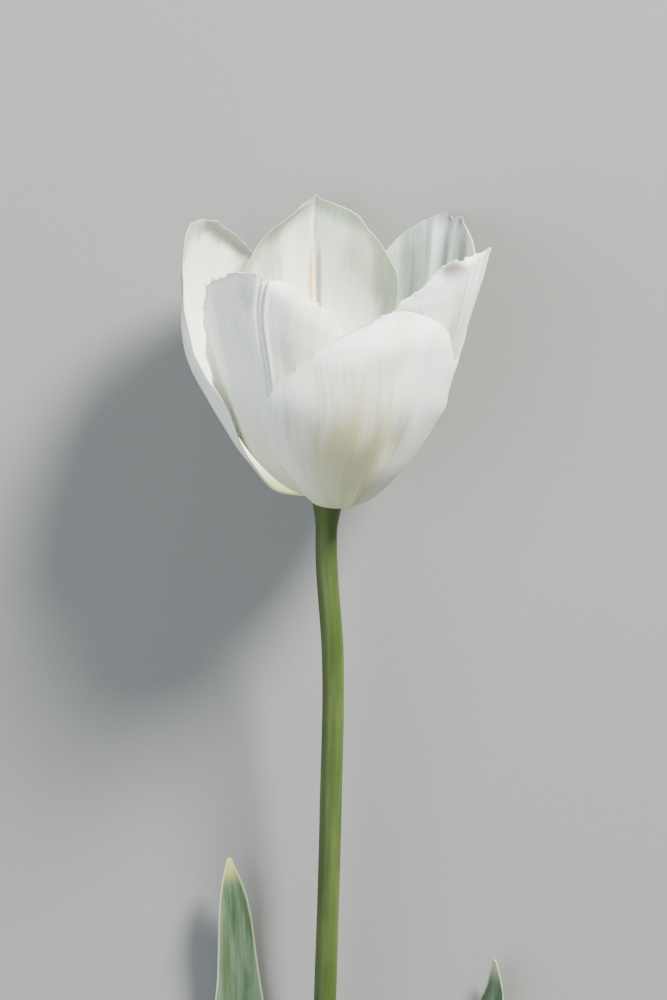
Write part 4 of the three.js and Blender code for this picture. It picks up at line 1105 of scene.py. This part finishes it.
class TULIP_OT_stamens(bpy.types.Operator):
    """Builds the six stamens, each a filament with a two-lobed anther"""
    bl_idname = "tulip.stamens"
    bl_label = "Stamens"

    def execute(self, context):
        settings = context.scene.tulip.heart
        materials = [
            soft_tissue("filament", settings.filament, "#D5D8A8", 0.8, 0.5, 0.03),
            soft_tissue("pollen-dusted anther", settings.pollen, "#B9963F", 0.3, 0.9, 0.15),
        ]
        end = STAMEN[-1][0]
        z = np.linspace(HEART_FOOT, end, STAMEN_ROWS)
        profile = smooth(STAMEN, z)
        lean, half_width, half_depth = profile[:, :1], profile[:, 1:2], profile[:, 2:3]
        angle = 2 * pi * (np.arange(STAMEN_SIDES) + 0.5) / STAMEN_SIDES
        Z, A = np.meshgrid(z, angle, indexing="ij")
        share, half = ANTHER_GROOVE
        groove = 1 - share * step_up(*GROOVE_FROM, Z) * np.exp(-(np.sin(A) / half) ** 2)
        out = lean + half_depth * groove * np.cos(A)
        height, spacing = FILAMENT_WOBBLE
        change = int(STAMEN_ROWS * (ANTHER_FROM - HEART_FOOT) / (end - HEART_FOOT))
        faces, face_slots = shut_tube(STAMEN_ROWS, STAMEN_SIDES, change)
        for k, facts in enumerate(PETALS):
            wobble = height * ripple(Z, spacing, 100 + k) * step_up(*WOBBLE_FROM, Z)
            aside = half_width * np.sin(A) + wobble
            turn = radians(facts["azimuth"])
            rings = np.stack([out * cos(turn) - aside * sin(turn), out * sin(turn) + aside * cos(turn), Z],
                             axis=-1)
            ends = [rings[0].mean(axis=0), rings[-1].mean(axis=0)]
            points = np.concatenate([rings.reshape(-1, 3), ends])
            make_piece(f"stamen_{k + 1}", points, faces, materials, face_slots=face_slots)
        return {"FINISHED"}


class TULIP_OT_leaves(bpy.types.Operator):
    """Builds the two channelled leaves that clasp the stalk"""
    bl_idname = "tulip.leaves"
    bl_label = "Leaves"

    def execute(self, context):
        settings = context.scene.tulip.green
        faces = blade_faces(*LEAF_GRID)
        edge, rim_width = LEAF_RIM
        for leaf in LEAVES:
            sheet = self.blade(leaf, *LEAF_GRID)
            along, rim = sheet[-2:]
            thickness = edge + (settings.leaf_thickness / MM - edge) * step_up(0, rim_width, rim)
            tip = tuple(float(along.max()) - away for away in LEAF_TIP)
            skin = green_skin("waxy leaf skin, " + leaf["name"].replace("_", " "), settings.leaf, 0.75,
                              settings.wax, 0.75, settings.fibre_spacing / MM,
                              (leaf["tip"], tip))
            make_blade(leaf["name"], faces, sheet, thickness, skin)
        return {"FINISHED"}

    def blade(self, leaf, rows, columns):
        """Outer points, the way inward, and what the material reads: across, along, rim distance."""
        foot = radians(leaf["facing"][0][1])
        sheath = [(read(STEM_BOW, np.array([-z / STEM_LENGTH]))[0] + SHEATH_RADIUS * cos(foot),
                   SHEATH_RADIUS * sin(foot), z) for z in (leaf["clasp"], leaf["clasp"] + SHEATH_LENGTH)]
        free = []
        for x, lift, z in leaf["path"]:
            level = height_above_table(np.array([x, 0, z]))
            free.append((x, (level - lift) / -TABLE_UP[1], z))
        keel, length = by_length([*sheath, *free])
        s, v = np.meshgrid(np.linspace(0, 1, rows + 1), np.linspace(-1, 1, columns + 1), indexing="ij")
        u = np.sin(s * pi / 2) ** LEAF_ROW_CROWDING
        half = read(leaf["width"], u)
        curl = read(leaf["curl"], u)[..., None]
        facing = np.radians(read(leaf["facing"], u))
        ahead = smooth(keel, np.minimum(u + 1e-3, 1)) - smooth(keel, np.maximum(u - 1e-3, 0))
        ahead /= np.linalg.norm(ahead, axis=-1, keepdims=True)
        out = np.stack([np.cos(facing), np.sin(facing), np.zeros_like(facing)], axis=-1)
        out -= ahead * (out * ahead).sum(axis=-1, keepdims=True)
        out /= np.linalg.norm(out, axis=-1, keepdims=True)
        side = np.cross(ahead, out)
        depth, count, phase = leaf["wave"]
        wave = (depth * np.sin(2 * pi * count * u + phase + np.where(v < 0, LEAF_EDGE_SHIFT, 0))
                * np.abs(v) ** 3 * np.sin(pi * u))
        foot_end = 1 - step_up(0, LEAF_FOOT, u * length)
        narrowing, closing = LEAF_FOOT_CLOSING
        half = half * (1 - narrowing * foot_end ** 3)
        across = v * half
        height, spacing = LEAF_VEINS
        veins = height * np.cos(2 * pi * across / spacing) * step_up(0.05, 0.15, u)
        veins *= 1 - step_up(0.9, 1, u)
        ridge, ridge_half = LEAF_KEEL
        keel_line = ridge * np.exp(-(across / ridge_half) ** 2) * (1 - step_up(0.85, 1, u))
        q = across[..., None]
        lift = -(1 - np.cos(curl * q)) / curl + (wave + veins + keel_line - ridge)[..., None]
        outer = smooth(keel, u) + side * np.sin(curl * q) / curl + out * lift
        inward = -(side * np.sin(curl * q) + out * np.cos(curl * q))
        outer += inward * (closing * foot_end[..., None])
        rim = np.minimum(half * (1 - np.abs(v)), u * length)
        return outer, inward, across, u * length, rim


class TULIP_OT_stage(bpy.types.Operator):
    """Lays the floor, hangs the lights and sets the camera"""
    bl_idname = "tulip.stage"
    bl_label = "Stage"

    def execute(self, context):
        scene = context.scene
        settings = scene.tulip.stage
        self.floor(scene, settings)
        world = bpy.data.worlds.new("pale studio")
        world.use_nodes = True
        background = world.node_tree.nodes["Background"]
        background.inputs["Color"].default_value = colour4(linear("#EEF1F4"))
        background.inputs["Strength"].default_value = settings.ambient
        scene.world = world
        for name in SOFT_BOXES:
            self.soft_box(scene, name, getattr(settings, name))
        self.camera(scene)
        return {"FINISHED"}

    def floor(self, scene, settings):
        mesh = bpy.data.meshes.new("floor")
        corners = [(-1, -1), (1, -1), (1, 1), (-1, 1)]
        mesh.from_pydata([(x * FLOOR_REACH, y * FLOOR_REACH, -FLOOR_DROP) for x, y in corners], [],
                         [(0, 1, 2, 3)])
        mesh.materials.append(stage_card(settings.floor))
        floor = bpy.data.objects.new("floor", mesh)
        scene.collection.objects.link(floor)

    def soft_box(self, scene, name, power):
        direction, distance, size, tint = SOFT_BOXES[name]
        towards = Vector(direction).normalized()
        data = bpy.data.lights.new(name, "AREA")
        data.shape = "DISK"
        data.size = size
        data.energy = power
        data.color = linear(tint)
        lamp = bpy.data.objects.new(name, data)
        lamp.location = Vector(lay_down(np.array(BLOOM_MIDDLE))) + towards * distance
        lamp.rotation_mode = "QUATERNION"
        lamp.rotation_quaternion = towards.to_track_quat("Z", "Y")
        scene.collection.objects.link(lamp)

    def camera(self, scene):
        turn = LYING_TILT - CAMERA_ELEVATION
        back = Vector((0, -sin(turn), cos(turn)))
        data = bpy.data.cameras.new("camera")
        data.sensor_width = SENSOR
        data.lens = SENSOR * CAMERA_DISTANCE / PICTURE_HEIGHT
        camera = bpy.data.objects.new("camera", data)
        camera.location = Vector(lay_down(np.array(CAMERA_LOOKS_AT))) + back * CAMERA_DISTANCE
        camera.rotation_euler = (turn, 0, 0)
        scene.collection.objects.link(camera)
        scene.camera = camera


class TULIP_PT_panel(bpy.types.Panel):
    """Lists the pieces of the tulip and their settings"""
    bl_idname = "TULIP_PT_panel"
    bl_label = "Tulip"
    bl_space_type = "VIEW_3D"
    bl_region_type = "UI"
    bl_category = "Tulip"

    def draw(self, context):
        for operator in OPERATORS:
            self.layout.operator(operator.bl_idname)
        for group in ("petals", "green", "heart", "stage"):
            box = self.layout.box()
            settings = getattr(context.scene.tulip, group)
            for name in settings.__annotations__:
                box.prop(settings, name)


OPERATORS = (TULIP_OT_petals, TULIP_OT_stalk, TULIP_OT_pistil, TULIP_OT_stamens, TULIP_OT_leaves,
             TULIP_OT_stage)
CLASSES = (TulipPetalSettings, TulipGreenSettings, TulipHeartSettings, TulipStageSettings, TulipSettings,
           *OPERATORS, TULIP_PT_panel)


def register():
    for cls in CLASSES:
        bpy.utils.register_class(cls)
    bpy.types.Scene.tulip = PointerProperty(type=TulipSettings)


def unregister():
    del bpy.types.Scene.tulip
    for cls in reversed(CLASSES):
        bpy.utils.unregister_class(cls)


def main():
    register()
    bpy.ops.tulip.petals()
    bpy.ops.tulip.stalk()
    bpy.ops.tulip.pistil()
    bpy.ops.tulip.stamens()
    bpy.ops.tulip.leaves()
    bpy.ops.tulip.stage()


if __name__ == "__main__":
    main()
